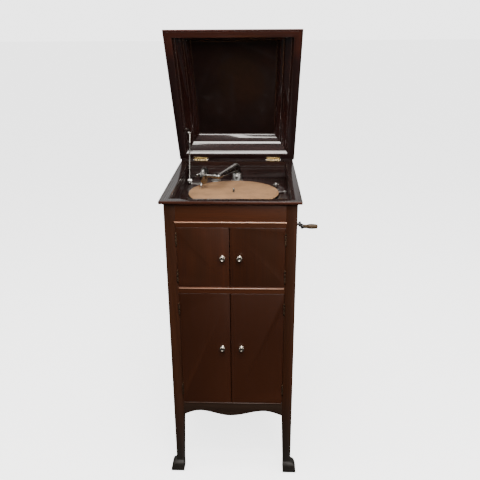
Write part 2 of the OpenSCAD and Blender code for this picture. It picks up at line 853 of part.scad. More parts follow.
// A plain slab door with pockets for its leaves
module door(side, pair) {
    span = pair == 0 ? upper_door : lower_door;
    zs = door_hinge_zs();
    low_x = side < 0 ? -post_in_x + door_gap : -door_meet_in + door_meet_gap / 2;
    high_x = side < 0 ? -door_meet_in - door_meet_gap / 2 : post_in_x - door_gap;
    color(wood_front) place() difference() {
        union() {
            block([low_x, 0, span[0]], [high_x, door_t, span[1]]);
            if (side > 0 && pair == 1)
                block([low_x, -lip_t, span[0]], [low_x + lip_w, 0, span[1]]);
        }
        for (i = [0, 1])
            translate([side * door_axis_x, -hinge_out, zs[2 * pair + i]])
                leaf_plate(door_hinge_len, -side, door_gap);
    }
}

module upper_left_door() {
    door(-1, 0);
}

module upper_right_door() {
    door(1, 0);
}

module lower_left_door() {
    door(-1, 1);
}

module lower_right_door() {
    door(1, 1);
}

// A turned knob with a rose, a waist and a dished face
module knob(x, z) {
    r = knob_d / 2;
    color(brass) place() translate([x, 0, z]) rotate([90, 0, 0])
        rotate_extrude() polygon([
            [0, 0], [r * 0.8, 0], [r * 0.8, 1.2], [r * 0.6, 2.4], [r * 0.45, 3.6],
            [r * 0.4, knob_h * 0.4], [r * 0.6, knob_h * 0.55], [r * 0.92, knob_h * 0.66],
            [r, knob_h * 0.78], [r * 0.96, knob_h * 0.9], [r * 0.82, knob_h],
            [r * 0.6, knob_h], [r * 0.45, knob_h - 1], [0, knob_h - 1.6]
        ]);
}

module upper_left_knob() {
    knob(-upper_knob_x, upper_knob_z);
}

module upper_right_knob() {
    knob(upper_knob_x, upper_knob_z);
}

module lower_left_knob() {
    knob(-lower_knob_x, lower_knob_z);
}

module lower_right_knob() {
    knob(lower_knob_x, lower_knob_z);
}

// ---------------------------------------------------------------- lid

// A piece of the closed lid with one outline on its four sides
module lid_block(outline) {
    translate([0, 0, rim_top_z + lid_gap])
        outlined_block(-lid_x, rim_front, lid_x, rim_rear, outline);
}

// Outline of the lid's hollow from the frame up to the flat panel: two coves, each ending in a
// narrow ledge with a slope behind it, and a small step at the panel
function lid_hollow() =
    let (f = lid_face, s = lid_slope_w, d = lid_depth, k = lid_slope_w / 52,
         g = (lid_depth - 2) / 58)
    [
        for (p = [
            [1, -1], [1.1, 1.3], [1.35, 2.6], [1.8, 3.9], [2.8, 6.1], [3.95, 8.2], [5.25, 10.2],
            [6.7, 12.1], [7.9, 12.2], [25.9, 30.7], [26.1, 31.9], [26.5, 33], [27.45, 35],
            [28.6, 36.9], [29.9, 38.65], [31, 38.75], [49.3, 53.6], [49.8, 55], [50.75, 56.5]
        ]) [f + p[0] * k, 2 + p[1] * g],
        [f + s, d - 1], [f + s, lid_top_h + 1]
    ];

// The frame: a ledge and a cove outside, and a fine groove in its lower face
module lid_frame() {
    rise = lid_frame_h - lid_ledge;
    color(wood_dark) place() opened_lid() difference() {
        lid_block([
            [lid_edge, 0], [0, lid_edge],
            for (a = [0 : 15 : 90]) [lid_cove * sin(a), lid_ledge + rise * (1 - cos(a))]
        ]);
        lid_block([[lid_face, -1], [lid_face, lid_frame_h + 1]]);
        difference() {
            lid_block([[lid_over, -1], [lid_over, 1]]);
            lid_block([[lid_over + 1, -2], [lid_over + 1, 2]]);
        }
        for (side = [-1, 1]) rim_hinge_place(side) leaf_plate(lid_hinge_len, 1, lid_gap);
    }
}

// The moulding between the frame and the flat panel, hollow inside and domed outside
module lid_moulding_solid() {
    rise = lid_top_h - lid_frame_h;
    difference() {
        lid_block([
            [lid_face, 2], [lid_face, lid_frame_h], [lid_cove + 2, lid_frame_h],
            [lid_cove + 2, lid_frame_h + 2], [lid_cove + 8, lid_frame_h + rise * 0.26],
            [lid_cove + 15, lid_frame_h + rise * 0.5], [lid_cove + 23, lid_frame_h + rise * 0.74],
            [lid_cove + 30, lid_top_h - 4], [lid_crown_in, lid_top_h - lid_crown_drop],
            [lid_crown_in + 4, lid_top_h]
        ]);
        lid_block(lid_hollow());
    }
}

module lid_moulding() {
    color(wood_dark) place() opened_lid() lid_moulding_solid();
}

module lid_panel() {
    edge = lid_face + lid_slope_w;
    color(wood_dark) place() opened_lid() translate([0, 0, rim_top_z + lid_gap])
        block([-lid_x + edge, rim_front + edge, lid_depth],
              [lid_x - edge, rim_rear - edge, lid_top_h]);
}

// ---------------------------------------------------------------- lid stay

// Carries the stay's upper pivot into place: the pin's middle at the origin of the closed lid
module stay_pin_place() {
    translate([-stay_x, lid_axis_y - stay_r * cos(stay_lift), lid_axis_z + stay_r * sin(stay_lift)])
        children();
}

// The bracket on the lid's moulding with the pin that the rod hangs on
module stay_lid_bracket() {
    color(metal_bright) place() opened_lid() difference() {
        stay_pin_place() {
            rotate([0, 90, 0]) translate([0, 0, -6.5]) cylinder(h = 11, r = stay_pin_r);
            translate([-6.5, 0, 0]) rotate([0, 90, 0]) cylinder(h = 3, r = 6);
            translate([-6.5, -6, 0]) cube([3, 12, 30]);
        }
        lid_moulding_solid();
        stay_pin_place() translate([-7, -7, 28]) cube([4, 14, 20]);
    }
}

// The rod: an eye, a flat link and a long round part with an end collar
module stay_rod() {
    color(metal_bright) place() translate([-stay_x, stay_pin_y, stay_pin_z])
        rotate([-stay_tilt, 0, 0]) difference() {
            union() {
                translate([-1.75, 0, 0]) rotate([0, 90, 0]) cylinder(h = 3.5, r = 5);
                translate([-1.75, -3.5, -36]) cube([3.5, 7, 36]);
                translate([0, 0, -stay_len - stay_end]) cylinder(h = stay_len + stay_end - 30, r = stay_rod_r);
                translate([0, 0, -stay_len - stay_end]) cylinder(h = 2.5, r = stay_collar_r);
            }
            translate([-3, 0, 0]) rotate([0, 90, 0]) cylinder(h = 6, r = stay_pin_r + fit);
        }
}

// The block that the rod slides through, with its own pivot
module stay_guide() {
    color(metal_bright) place() translate([-stay_x, stay_guide_y, stay_guide_z]) difference() {
        union() {
            translate([-5.5, 0, 0]) rotate([0, 90, 0]) cylinder(h = 11, r = 7);
            translate([5.4, 0, 0]) rotate([0, 90, 0]) cylinder(h = 4.4, r = stay_pin_r);
        }
        rotate([-stay_tilt, 0, 0]) translate([0, 0, -12]) cylinder(h = 24, r = stay_rod_r + fit);
    }
}

// The foot and ear on the motor board that carry the guide
module stay_bracket() {
    ear_x = -stay_x + 5.8;
    color(metal_bright) place() difference() {
        union() {
            block([ear_x, stay_guide_y - 10, board_top], [ear_x + 32, stay_guide_y + 10, board_top + 2.5]);
            block([ear_x, stay_guide_y - 7, board_top], [ear_x + 3, stay_guide_y + 7, stay_guide_z]);
            translate([ear_x, stay_guide_y, stay_guide_z]) rotate([0, 90, 0]) cylinder(h = 3, r = 7);
        }
        translate([ear_x - 1, stay_guide_y, stay_guide_z]) rotate([0, 90, 0])
            cylinder(h = 6, r = stay_pin_r + fit);
    }
}

// ---------------------------------------------------------------- turntable and motor

module platter() {
    top = board_top + platter_lift;
    color(metal_dark) place() translate([0, spindle_y, 0]) rotate_extrude($fn = 128) polygon([
        [collar_r() + fit, top], [collar_r() + fit, top - platter_t],
        [spindle_body_r() + fit, top - platter_t], [spindle_body_r() + fit, top - platter_t - 7],
        [15, top - platter_t - 7], [18, top - platter_t],
        [platter_r - 3.5, top - platter_t], [platter_r - 3.5, top - platter_rim],
        [platter_r - 1, top - platter_rim], [platter_r, top - platter_rim + 1],
        [platter_r, top - 1], [platter_r - 1, top]
    ]);
}

module platter_felt() {
    top = board_top + platter_lift;
    color([0.72, 0.58, 0.42]) place() translate([0, spindle_y, top]) rotate_extrude($fn = 128)
        polygon([
            [collar_r() + 0.4, 0], [platter_r - 1, 0], [platter_r - 0.6, felt_t / 2],
            [platter_r - 1, felt_t], [collar_r() + 0.4, felt_t]
        ]);
}

// The upright spindle with its pinion, its governor wheel and the collar in the felt
module spindle() {
    top = board_top + platter_lift;
    tip = felt_top + spindle_tip;
    color(steel) place() translate([0, spindle_y, 0]) {
        rotate_extrude() polygon([
            [0, plate_z + 1.5], [spindle_body_r(), plate_z + 1.5],
            [spindle_body_r(), top - platter_t], [collar_r(), top - platter_t],
            [collar_r(), felt_top], [spindle_r, felt_top],
            [spindle_r, tip - 3], for (a = [0 : 30 : 90]) [spindle_r * cos(a), tip - 3 + 3 * sin(a)]
        ]);
        translate([0, 0, great_z]) linear_extrude(gear_w)
            gear_outline(spindle_teeth, spring_module, 180 / spindle_teeth);
        translate([0, 0, wheel_z]) linear_extrude(5)
            gear_outline(wheel_teeth, governor_module, governor_dir);
        translate([0, 0, wheel_z + 5]) cylinder(h = 5, r = 10);
    }
}

// Two plates and four pillars that hang the motor under the motor board
module motor_frame() {
    low = [-barrel_r - plate_margin, spindle_y - barrel_r - plate_margin];
    high = [barrel_x + barrel_r + plate_margin, governor_y + governor_margin];
    color(metal_dark) place() difference() {
        union() {
            block([low[0], low[1], plate_z], [high[0], high[1], plate_z + plate_t]);
            block([low[0], low[1], board_bot - plate_t], [high[0], high[1], board_bot]);
            for (x = [low[0] + 8, high[0] - 8])
                for (y = [low[1] + 8, high[1] - 8])
                    translate([x, y, plate_z]) cylinder(h = motor_h, r = 4);
            block([pinion_x + 10, spindle_y - 10, plate_z], [pinion_x + 16, spindle_y + 10, crank_z]);
            translate([pinion_x + 10, spindle_y, crank_z]) rotate([0, 90, 0]) cylinder(h = 6, r = 10);
        }
        for (z = [plate_z + 1.5, board_bot - plate_t - 1]) {
            translate([0, spindle_y, z]) cylinder(h = plate_t + 2, r = spindle_body_r() + fit);
            translate([barrel_x, spindle_y, z]) cylinder(h = plate_t + 2, r = arbor_r + fit);
            translate([governor_x, governor_y, z]) cylinder(h = plate_t + 2, r = governor_r + fit);
        }
        translate([pinion_x + 9, spindle_y, crank_z]) rotate([0, 90, 0]) cylinder(h = 8, r = shaft_r + fit);
    }
}

// The closed barrel that holds the mainspring, with the great wheel on its top
module spring_barrel() {
    color(steel) place() translate([barrel_x, spindle_y, 0]) difference() {
        union() {
            translate([0, 0, barrel_z]) cylinder(h = barrel_h, r = barrel_r);
            translate([0, 0, great_z]) linear_extrude(gear_w)
                gear_outline(barrel_teeth, spring_module, 0);
        }
        translate([0, 0, barrel_z + 2]) cylinder(h = barrel_h - 4, r = barrel_r - 2);
        translate([0, 0, barrel_z - 1]) cylinder(h = barrel_h + gear_w + 2, r = arbor_r + fit);
    }
}

// The spring's arbor with the coiled core it winds and the crown wheel under the barrel
module spring_arbor() {
    root_z = crank_z + winding_pitch_r + 1.15 * winding_module;
    color(steel) place() translate([barrel_x, spindle_y, 0]) {
        translate([0, 0, plate_z + 1.5]) cylinder(h = motor_h - 2.5, r = arbor_r);
        translate([0, 0, root_z]) cylinder(h = 4, r = crown_r + 3);
        translate([0, 0, root_z + 4]) cylinder(h = barrel_z - root_z - 4 - clear, r = 9);
        for (i = [0 : crown_teeth - 1])
            rotate((i + 0.5) * 360 / crown_teeth) translate([crown_r - 3, 0, root_z])
                rotate([90, 0, 90]) linear_extrude(6) polygon(crown_tooth());
    }
}
// Section of a tooth of the crown wheel, pointing down from its root
function crown_tooth() =
    let (pitch = PI * winding_module, m = winding_module)
    [
        [-0.28 * pitch, 0.5], [-0.18 * pitch, -1.15 * m], [-0.08 * pitch, -2 * m],
        [0.08 * pitch, -2 * m], [0.18 * pitch, -1.15 * m], [0.28 * pitch, 0.5]
    ];

// The governor: a shaft with its pinion, a friction disc and three weights on leaf springs
module governor() {
    disc_z = great_z - 12;
    low_z = wheel_z + 14;
    color(brass) place() translate([governor_x, governor_y, 0]) {
        translate([0, 0, plate_z + 1.5]) cylinder(h = motor_h - 2.5, r = governor_r);
        translate([0, 0, wheel_z - 1]) linear_extrude(7)
            gear_outline(governor_teeth, governor_module, governor_dir + 180 + 180 / governor_teeth);
        translate([0, 0, low_z]) cylinder(h = 5, r = 7);
        translate([0, 0, disc_z - 5]) cylinder(h = 5, r = 7);
        translate([0, 0, disc_z]) cylinder(h = 2.5, r = 16);
        for (i = [0 : 2]) rotate(120 * i) {
            block([5, -2, low_z + 1], [14, 2, low_z + 1.8]);
            block([5, -2, disc_z - 1.8], [14, 2, disc_z - 1]);
            block([13.2, -2, low_z + 1], [14, 2, disc_z - 1]);
            translate([13, 0, (low_z + disc_z) / 2 - 6]) cylinder(h = 12, r = 4.5);
        }
    }
}

// ---------------------------------------------------------------- crank

module winding_shaft() {
    low = pinion_x - 5;
    color(steel) place() translate([0, spindle_y, crank_z]) rotate([0, 90, 0]) {
        translate([0, 0, low]) cylinder(h = crank_x - low, r = shaft_r);
        translate([0, 0, pinion_x - 4]) linear_extrude(8) gear_outline(winding_teeth, winding_module);
    }
}

// A round plate on the side panel with the bush that the shaft runs in
module crank_escutcheon() {
    color(brass) place() translate([0, spindle_y, crank_z]) rotate([0, 90, 0]) difference() {
        union() {
            translate([0, 0, side_in_x]) cylinder(h = side_t, r = bush_r() - fit);
            translate([0, 0, side_out_x]) cylinder(h = 2, r = 17);
            translate([0, 0, side_out_x + 2]) cylinder(h = 4, r1 = 11, r2 = 9);
        }
        translate([0, 0, side_in_x - 1]) cylinder(h = side_t + 8, r = shaft_r + fit);
    }
}

// The forged arm, with a boss at the shaft and the pin of the handle
module crank_arm() {
    color(metal_dark) place() translate([crank_x, spindle_y, crank_z]) rotate([-crank_angle, 0, 0])
        rotate([0, 90, 0]) {
            cylinder(h = crank_arm_t, r = 9);
            translate([-5.5, -crank_len, 0]) cube([11, crank_len, crank_arm_t]);
            translate([0, -crank_len, 0]) cylinder(h = crank_arm_t, r = 8);
            translate([0, -crank_len, crank_arm_t]) cylinder(h = grip_bore, r = grip_pin_r);
        }
}

// The turned handle with its ferrule, free to spin on the arm's pin
module crank_handle() {
    color([0.60, 0.36, 0.18]) place() translate([grip_x + clear, grip_y, grip_z]) rotate([0, 90, 0])
        rotate_extrude() polygon([
            [grip_pin_r + fit, 0], [6.2, 0], [6.2, ferrule_len - 0.7], [5.4, ferrule_len],
            for (s = [0.1 : 0.1 : 1])
                [5.4 + (handle_r - 5.4) * sin(150 * pow(s, 0.8)), ferrule_len + handle_len * s],
            [3.8, grip_bore + 1.2], [3, grip_bore + 3.4], [0, grip_bore + 3.7],
            [0, grip_bore], [grip_pin_r + fit, grip_bore]
        ]);
}

// ---------------------------------------------------------------- levers

// A flat lever on an upright pin, with an end knob or pad; -X is its own forward direction
module lever(reach, lift, pin_low) {
    translate([0, 0, lift]) {
        cylinder(h = 3, r = 6);
        translate([-reach + 4, -3, 0]) cube([reach - 4, 6, 3]);
        translate([0, 0, 3]) cylinder(h = 2, r = 4);
    }
    translate([0, 0, pin_low]) cylinder(h = lift - pin_low + 1, r = lever_pin_r);
}

// The brake: its pad stands just off the platter's edge
module brake_lever() {
    reach = norm([brake_x(), brake_y() - spindle_y]) - platter_r - 1;
    color(metal_bright) place()
        translate([brake_x(), brake_y(), board_top])
            rotate(atan2(brake_y() - spindle_y, brake_x())) {
                lever(reach, 6, -board_t);
                translate([-reach, -5, 5]) cube([6, 10, 7]);
            }
}

// The speed lever, with a finger knob; its pin goes down to the governor's brake
module speed_lever() {
    color(metal_bright) place() translate([speed_x(), speed_y(), board_top]) rotate(90) {
        lever(30, 4, -board_t - 6);
        translate([-26, 0, 4]) cylinder(h = 7, r = 4);
        translate([-26, 0, 11]) sphere(r = 4.6);
        translate([-28.5, -10, 8]) cube([5, 20, 3]);
        translate([-4, -4, -board_t - 6]) cube([26, 8, 3]);
    }
}

module needle_cup() {
    color(metal_bright) place() translate([needle_cup_x, needle_cup_y, board_top])
        rotate_extrude() polygon([
            [0, 0], [cup_r - 6, 0], [cup_r - 1, 4], [cup_r, 5.5], [cup_r - 1.5, 6],
            [cup_r - 7, 2], [0, 1.2]
        ]);
}

// ---------------------------------------------------------------- tone arm

// Carries a piece from the arm's own coordinates to its place at rest
module arm_place() {
    translate([arm_x, arm_y, 0]) rotate(-arm_turn) children();
}

// The bracket in which the arm turns, with a polished set screw at its front
module tone_arm_bracket() {
    color(metal_dark) place() translate([arm_x, arm_y, board_top]) difference() {
        union() {
            cylinder(h = bracket_top - board_top, r = arm_rear_r + 3.4);
            block([-arm_rear_r - 3.4, 0, 0], [arm_rear_r + 3.4, 26, bracket_top - board_top - 6]);
            cylinder(h = 3, r = arm_rear_r + 8);
            translate([0, -arm_rear_r - 9.5, 23]) sphere(r = 7);
            translate([0, -arm_rear_r + 2, 22]) rotate([90, 0, 0]) cylinder(h = 8, r = 2.5);
        }
        translate([0, 0, 5]) cylinder(h = 60, r = arm_rear_r + fit);
        translate([0, 0, -1]) cylinder(h = 60, r = throat_r - 0.5);
    }
}

// The bent tube of the arm, solid: an upright stub, an elbow and a long taper
module arm_tube(low, wall) {
    translate([0, 0, low]) cylinder(h = bend_z - low + elbow_swell, r = arm_rear_r - wall);
    translate([0, -elbow_r, bend_z]) {
        rotate([90, 0, 90]) rotate_extrude(angle = elbow_turn)
            translate([elbow_r, 0]) circle(r = arm_rear_r + elbow_swell - wall);
        rotate([elbow_turn, 0, 0]) translate([0, elbow_r, -elbow_swell])
            cylinder(h = taper_len + elbow_swell, r1 = arm_rear_r - wall, r2 = arm_front_r - wall);
    }
}

// The tone arm with its flange on the bracket and the neck's socket at its front end
module tone_arm() {
    stub_low = board_top + 6;
    color(metal_dark) place() arm_place() difference() {
        union() {
            arm_tube(stub_low, 0);
            translate([0, 0, bracket_top + fit]) cylinder(h = 3.5, r = arm_rear_r + 3);
            translate([0, -arm_len, soundbox_z]) sphere(r = arm_front_r + 0.6);
            translate([0, -arm_len, soundbox_z]) rotate([0, -90, 0]) {
                cylinder(h = 14, r = neck_r + 1.6);
                translate([0, 0, 11.5]) cylinder(h = 2.5, r = neck_r + 3.4);
            }
        }
        arm_tube(stub_low - 1, tube_wall);
        translate([1, -arm_len, soundbox_z]) rotate([0, -90, 0]) cylinder(h = 16, r = neck_r + fit);
    }
}

// The neck, which turns in the arm's socket so that the needle can be lifted
module soundbox_neck() {
    end = neck_len - soundbox_t / 2;
    color(metal_bright) place() arm_place() translate([0, -arm_len, soundbox_z]) rotate([0, -90, 0])
        difference() {
            union() {
                translate([0, 0, 2]) cylinder(h = end - 2, r = neck_r);
                translate([0, 0, 14 + clear]) cylinder(h = 2.5, r = neck_r + 2);
                translate([0, 0, end - 3]) cylinder(h = 3, r = neck_r + 5);
            }
            translate([0, 0, 1]) cylinder(h = end, r = neck_r - tube_wall);
        }
}

// Carries a piece to the soundbox's middle: +Z towards its front, away from the arm
module soundbox_place() {
    arm_place() translate([0, -arm_len, soundbox_z]) rotate([0, -90, 0])
        translate([0, 0, neck_len]) children();
}

// The case of the soundbox, with the bridge and the knob on its front
module soundbox() {
    half = soundbox_t / 2;
    r = soundbox_r;
    color(metal_bright) place() soundbox_place() {
        rotate_extrude() polygon([
            [neck_r - tube_wall, -half], [r - 5, -half], [r - 3, -half + 2], [r - 1, -half + 2.5],
            [r, -half + 4], [r, half - 2], [r - 1, half], [r - 2, half + 1], [r - 5, half + 1],
            [r - 5, half - 1], [r - 3, half - 1.5], [r - 3, half - 5], [r - 4.5, half - 5],
            [r - 4.5, -half + 3], [neck_r - tube_wall, -half + 3]
        ]);
        for (side = [-1, 1]) rotate(needle_lean)
            translate([-2.5, side * (r - 4.5) - 1.5, half]) cube([5, 3, 6.5]);
        rotate(needle_lean) translate([-2.5, -r + 3, half + 5]) cube([5, 2 * r - 6, 2]);
        translate([0, 0, half + 6]) cylinder(h = 13, r = 2.4);
        translate([0, 0, half + 20]) sphere(r = 5);
    }
}

module diaphragm() {
    half = soundbox_t / 2;
    color([0.85, 0.80, 0.66]) place() soundbox_place()
        translate([0, 0, half - 5]) cylinder(h = 0.8, r = soundbox_r - 3.1);
}

// The bar from the diaphragm's middle over the rim to the needle, and the needle
module needle_bar() {
    half = soundbox_t / 2;
    seat = soundbox_r - 3.5;
    color(steel) place() soundbox_place() rotate(needle_lean) {
        translate([0, 0, half - 4.2]) cylinder(h = 6, r = 1.8);
        translate([-seat - 6, -1.6, half + 1.3]) cube([seat + 6, 3.2, 2.6]);
        translate([-seat, 0, half + 1]) cylinder(h = 1, r = 2.4);
        translate([-seat - 3.8, 0, half + 2.6]) rotate([0, -90, 0]) cylinder(h = 7.2, r = 3);
        translate([-seat - 11, 0, half + 2.6]) rotate([0, -90, 0])
            cylinder(h = needle_reach - seat - 15, r = 0.8);
        translate([-needle_reach + 4, 0, half + 2.6]) rotate([0, -90, 0])
            cylinder(h = 4, r1 = 0.8, r2 = 0.15);
    }
}

front_left_post();
front_right_post();
rear_left_post();
rear_right_post();
left_side_panel();
right_side_panel();
back_panel();
bottom_board();
horn_shelf();
motor_board();
well_liner();
top_rim();
front_rails();
front_apron();
front_beads();
horn();
horn_louvres();
record_dividers();
crank_escutcheon();
tone_arm_bracket();
needle_cup();
motor_frame();
fixed_hinge_leaves();
hinge_pins();
stay_bracket();
lid_frame();
lid_moulding();
lid_panel();
lid_hinge_leaves();
stay_lid_bracket();
stay_rod();
stay_guide();
upper_left_door();
upper_right_door();
lower_left_door();
lower_right_door();
upper_left_knob();
upper_right_knob();
lower_left_knob();
lower_right_knob();
upper_left_hinge_leaves();
upper_right_hinge_leaves();
lower_left_hinge_leaves();
lower_right_hinge_leaves();
tone_arm();
soundbox_neck();
soundbox();
diaphragm();
needle_bar();
platter();
platter_felt();
spindle();
brake_lever();
speed_lever();
spring_barrel();
spring_arbor();
governor();
winding_shaft();
crank_arm();
crank_handle();
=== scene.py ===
"""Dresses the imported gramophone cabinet: finishes, softened edges, screws, felt and studio."""
import json
import math

import bmesh
import bpy
from mathutils import Matrix, Vector

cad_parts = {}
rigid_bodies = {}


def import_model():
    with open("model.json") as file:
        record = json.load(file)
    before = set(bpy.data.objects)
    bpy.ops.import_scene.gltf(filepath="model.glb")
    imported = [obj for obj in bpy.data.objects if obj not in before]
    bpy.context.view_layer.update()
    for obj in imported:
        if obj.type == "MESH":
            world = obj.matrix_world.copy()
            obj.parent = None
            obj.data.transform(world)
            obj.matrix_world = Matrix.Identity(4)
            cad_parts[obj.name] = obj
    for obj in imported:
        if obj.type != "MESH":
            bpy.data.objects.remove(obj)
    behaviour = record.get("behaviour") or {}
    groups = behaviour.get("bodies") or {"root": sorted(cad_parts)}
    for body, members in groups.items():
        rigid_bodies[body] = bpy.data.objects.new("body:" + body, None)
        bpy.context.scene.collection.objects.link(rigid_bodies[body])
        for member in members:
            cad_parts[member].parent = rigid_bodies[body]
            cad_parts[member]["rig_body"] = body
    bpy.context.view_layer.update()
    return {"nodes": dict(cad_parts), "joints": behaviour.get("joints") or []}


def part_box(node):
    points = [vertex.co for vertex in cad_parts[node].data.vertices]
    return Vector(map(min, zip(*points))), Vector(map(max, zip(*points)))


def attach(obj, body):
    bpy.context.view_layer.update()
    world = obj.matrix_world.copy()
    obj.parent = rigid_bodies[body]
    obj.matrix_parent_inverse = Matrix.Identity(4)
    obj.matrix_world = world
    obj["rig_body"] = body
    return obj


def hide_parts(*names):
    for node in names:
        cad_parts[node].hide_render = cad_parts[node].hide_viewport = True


bl_info = {
    "name": "Gramophone Cabinet Dressing",
    "version": (1, 0, 0),
    "blender": (4, 5, 0),
    "location": "View3D > Sidebar > Cabinet",
    "description": "Finishes, softened edges, screws, felt and a studio for a gramophone cabinet",
    "category": "Object",
}

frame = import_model()
NODES = frame["nodes"]
JOINTS = {joint["name"]: joint for joint in frame["joints"]}
LID_OPEN = math.radians(58.4)
RIM_LOW, RIM_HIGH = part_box("top_rim")
LOWER_DOOR_LOW, LOWER_DOOR_TOP = (corner.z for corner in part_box("lower_left_door"))
FELT_LOW, FELT_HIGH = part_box("platter_felt")
SPINDLE = Vector(JOINTS["turntable_spin"]["pos_m"])

# Camera of the photograph, in metres in the cabinet's own frame
CAMERA_PLACE = (0.0563, -1.926031, 1.4966)
CAMERA_PITCH = 0.358
CAMERA_YAW = 0.034
CAMERA_ROLL = -0.006
CAMERA_LENS = 43.13
SENSOR = 36.0

# Pairs of places between which a finish changes: heights
RIM_FACE = RIM_LOW.z + 0.016
# Heights above which the rim's top face takes a darker colour: painted shade
RIM_TOP_SHADE_HEIGHTS = (RIM_FACE - 0.0001, RIM_FACE - 0.0006)
# Heights over which the posts turn darker towards the bottom, to nearly black at the floor
FOOT_DARKENING = (0.04, 0.34)
# Heights over which the beads go from the lowest bead's wood to the uppermost bead's light colour,
# a painted highlight
BEAD_HIGHLIGHT_HEIGHTS = (0.5, 0.93)
BEAD_GLOSS = (0.4, 0.93)
# Heights below which the lid's frame is painted darker than its front rail: painted shade
LID_SHADE_HEIGHTS = (1.385, 1.425)
# Below the lower doors' top the door wood is darker, on the lower doors and on the side panels:
# painted shade
LOWER_DOOR_SHADE_HEIGHTS = (LOWER_DOOR_TOP, LOWER_DOOR_TOP + 0.005)
# Heights over which the door wood turns lighter again towards the lower doors' bottom
LOWER_DOORS = (LOWER_DOOR_LOW, LOWER_DOOR_LOW + 0.25)

# The same from front to rear
# Depth of the rim's front band, which takes a lighter colour: painted light
RIM_FRONT_LIGHT_SPAN = (RIM_LOW.y + 0.013, RIM_LOW.y + 0.014)
RIM_REAR = (RIM_HIGH.y - 0.020, RIM_HIGH.y - 0.045)
FITTINGS_FRONT = (-0.1, 0.1)

# Wood: how often a pattern repeats to the metre, across and along the grain
GRAIN = (26.0, 1.3)
PORES = (330.0, 7.0)
MOTTLE = (9.0, 3.0)
PORE_DEPTH = 0.0003

# Softened copies: vertices at one place, faces in one plane, and the least angle of an edge
SAME_PLACE = 2e-6
FLAT_ANGLE = math.radians(0.6)
EDGE_ANGLE = math.radians(32)

# Hinges: length of a door hinge, its screws along it, and the leaf's face and middle off the axis
HINGE_LENGTH = 0.040
HINGE_SCREWS = (0.007, 0.020, 0.033)
LEAF_FACE = 0.00041
LEAF_MIDDLE = 0.0085

# Screw heads: sides, how far they narrow, level of the slot in heights, and seed of their turn
SCREW_SIDES = 24
SCREW_TAPER = 0.86
SLOT_LEVEL = 0.9
SCREW_SEED = 4

# Felt: radius of the hole, softening of its edges, and how many rings and steps it is made of
FELT_HOLE = 0.0040
FELT_EDGE = 0.0004
FELT_RINGS = 46
FELT_STEPS = 180

# Studio: brightness of floor, backdrop and room, and the lights (name, place, size, power, hue)
FLOOR_SIZE = 60.0
FLOOR_LEVEL = -0.0005
LIGHT_AIM = Vector((0, 0, 0.95))
FLOOR_GLOW = 2.6
BACKDROP = 3.4
ROOM_LOW = 0.05
ROOM_HIGH = 0.50
ROOM_RISE = (-0.25, 0.5)
LIGHTS = (
    ("Ceiling panel", (0.0, -1.5, 3.1), (1.7, 0.60), 52, (1, 0.97, 0.94)),
    ("Top panel", (0.0, -0.4, 3.1), (2.4, 0.90), 48, (1, 0.97, 0.94)),
    ("Front box", (0.3, -2.4, 2.7), (1.8, 1.2), 62, (1, 0.95, 0.90)),
    ("Rear wall", (0.0, 3.2, 2.0), (6.0, 1.5), 3, (1, 1, 1)),
    ("Left box", (-2.4, -0.6, 1.9), (1.2, 1.2), 16, (0.98, 0.99, 1)),
    ("Right box", (2.4, -0.8, 1.7), (1.0, 1.0), 14, (1, 0.97, 0.94)))


# ---------------------------------------------------------------- settings

def colour(name, text, value):
    """A colour property."""
    return bpy.props.FloatVectorProperty(
        name=name, description=text, subtype="COLOR", size=3, min=0, max=1, default=value)


def length(name, text, value, high=0.1):
    """A length property, in metres."""
    return bpy.props.FloatProperty(
        name=name, description=text, unit="LENGTH", precision=5, min=0, max=high, default=value)


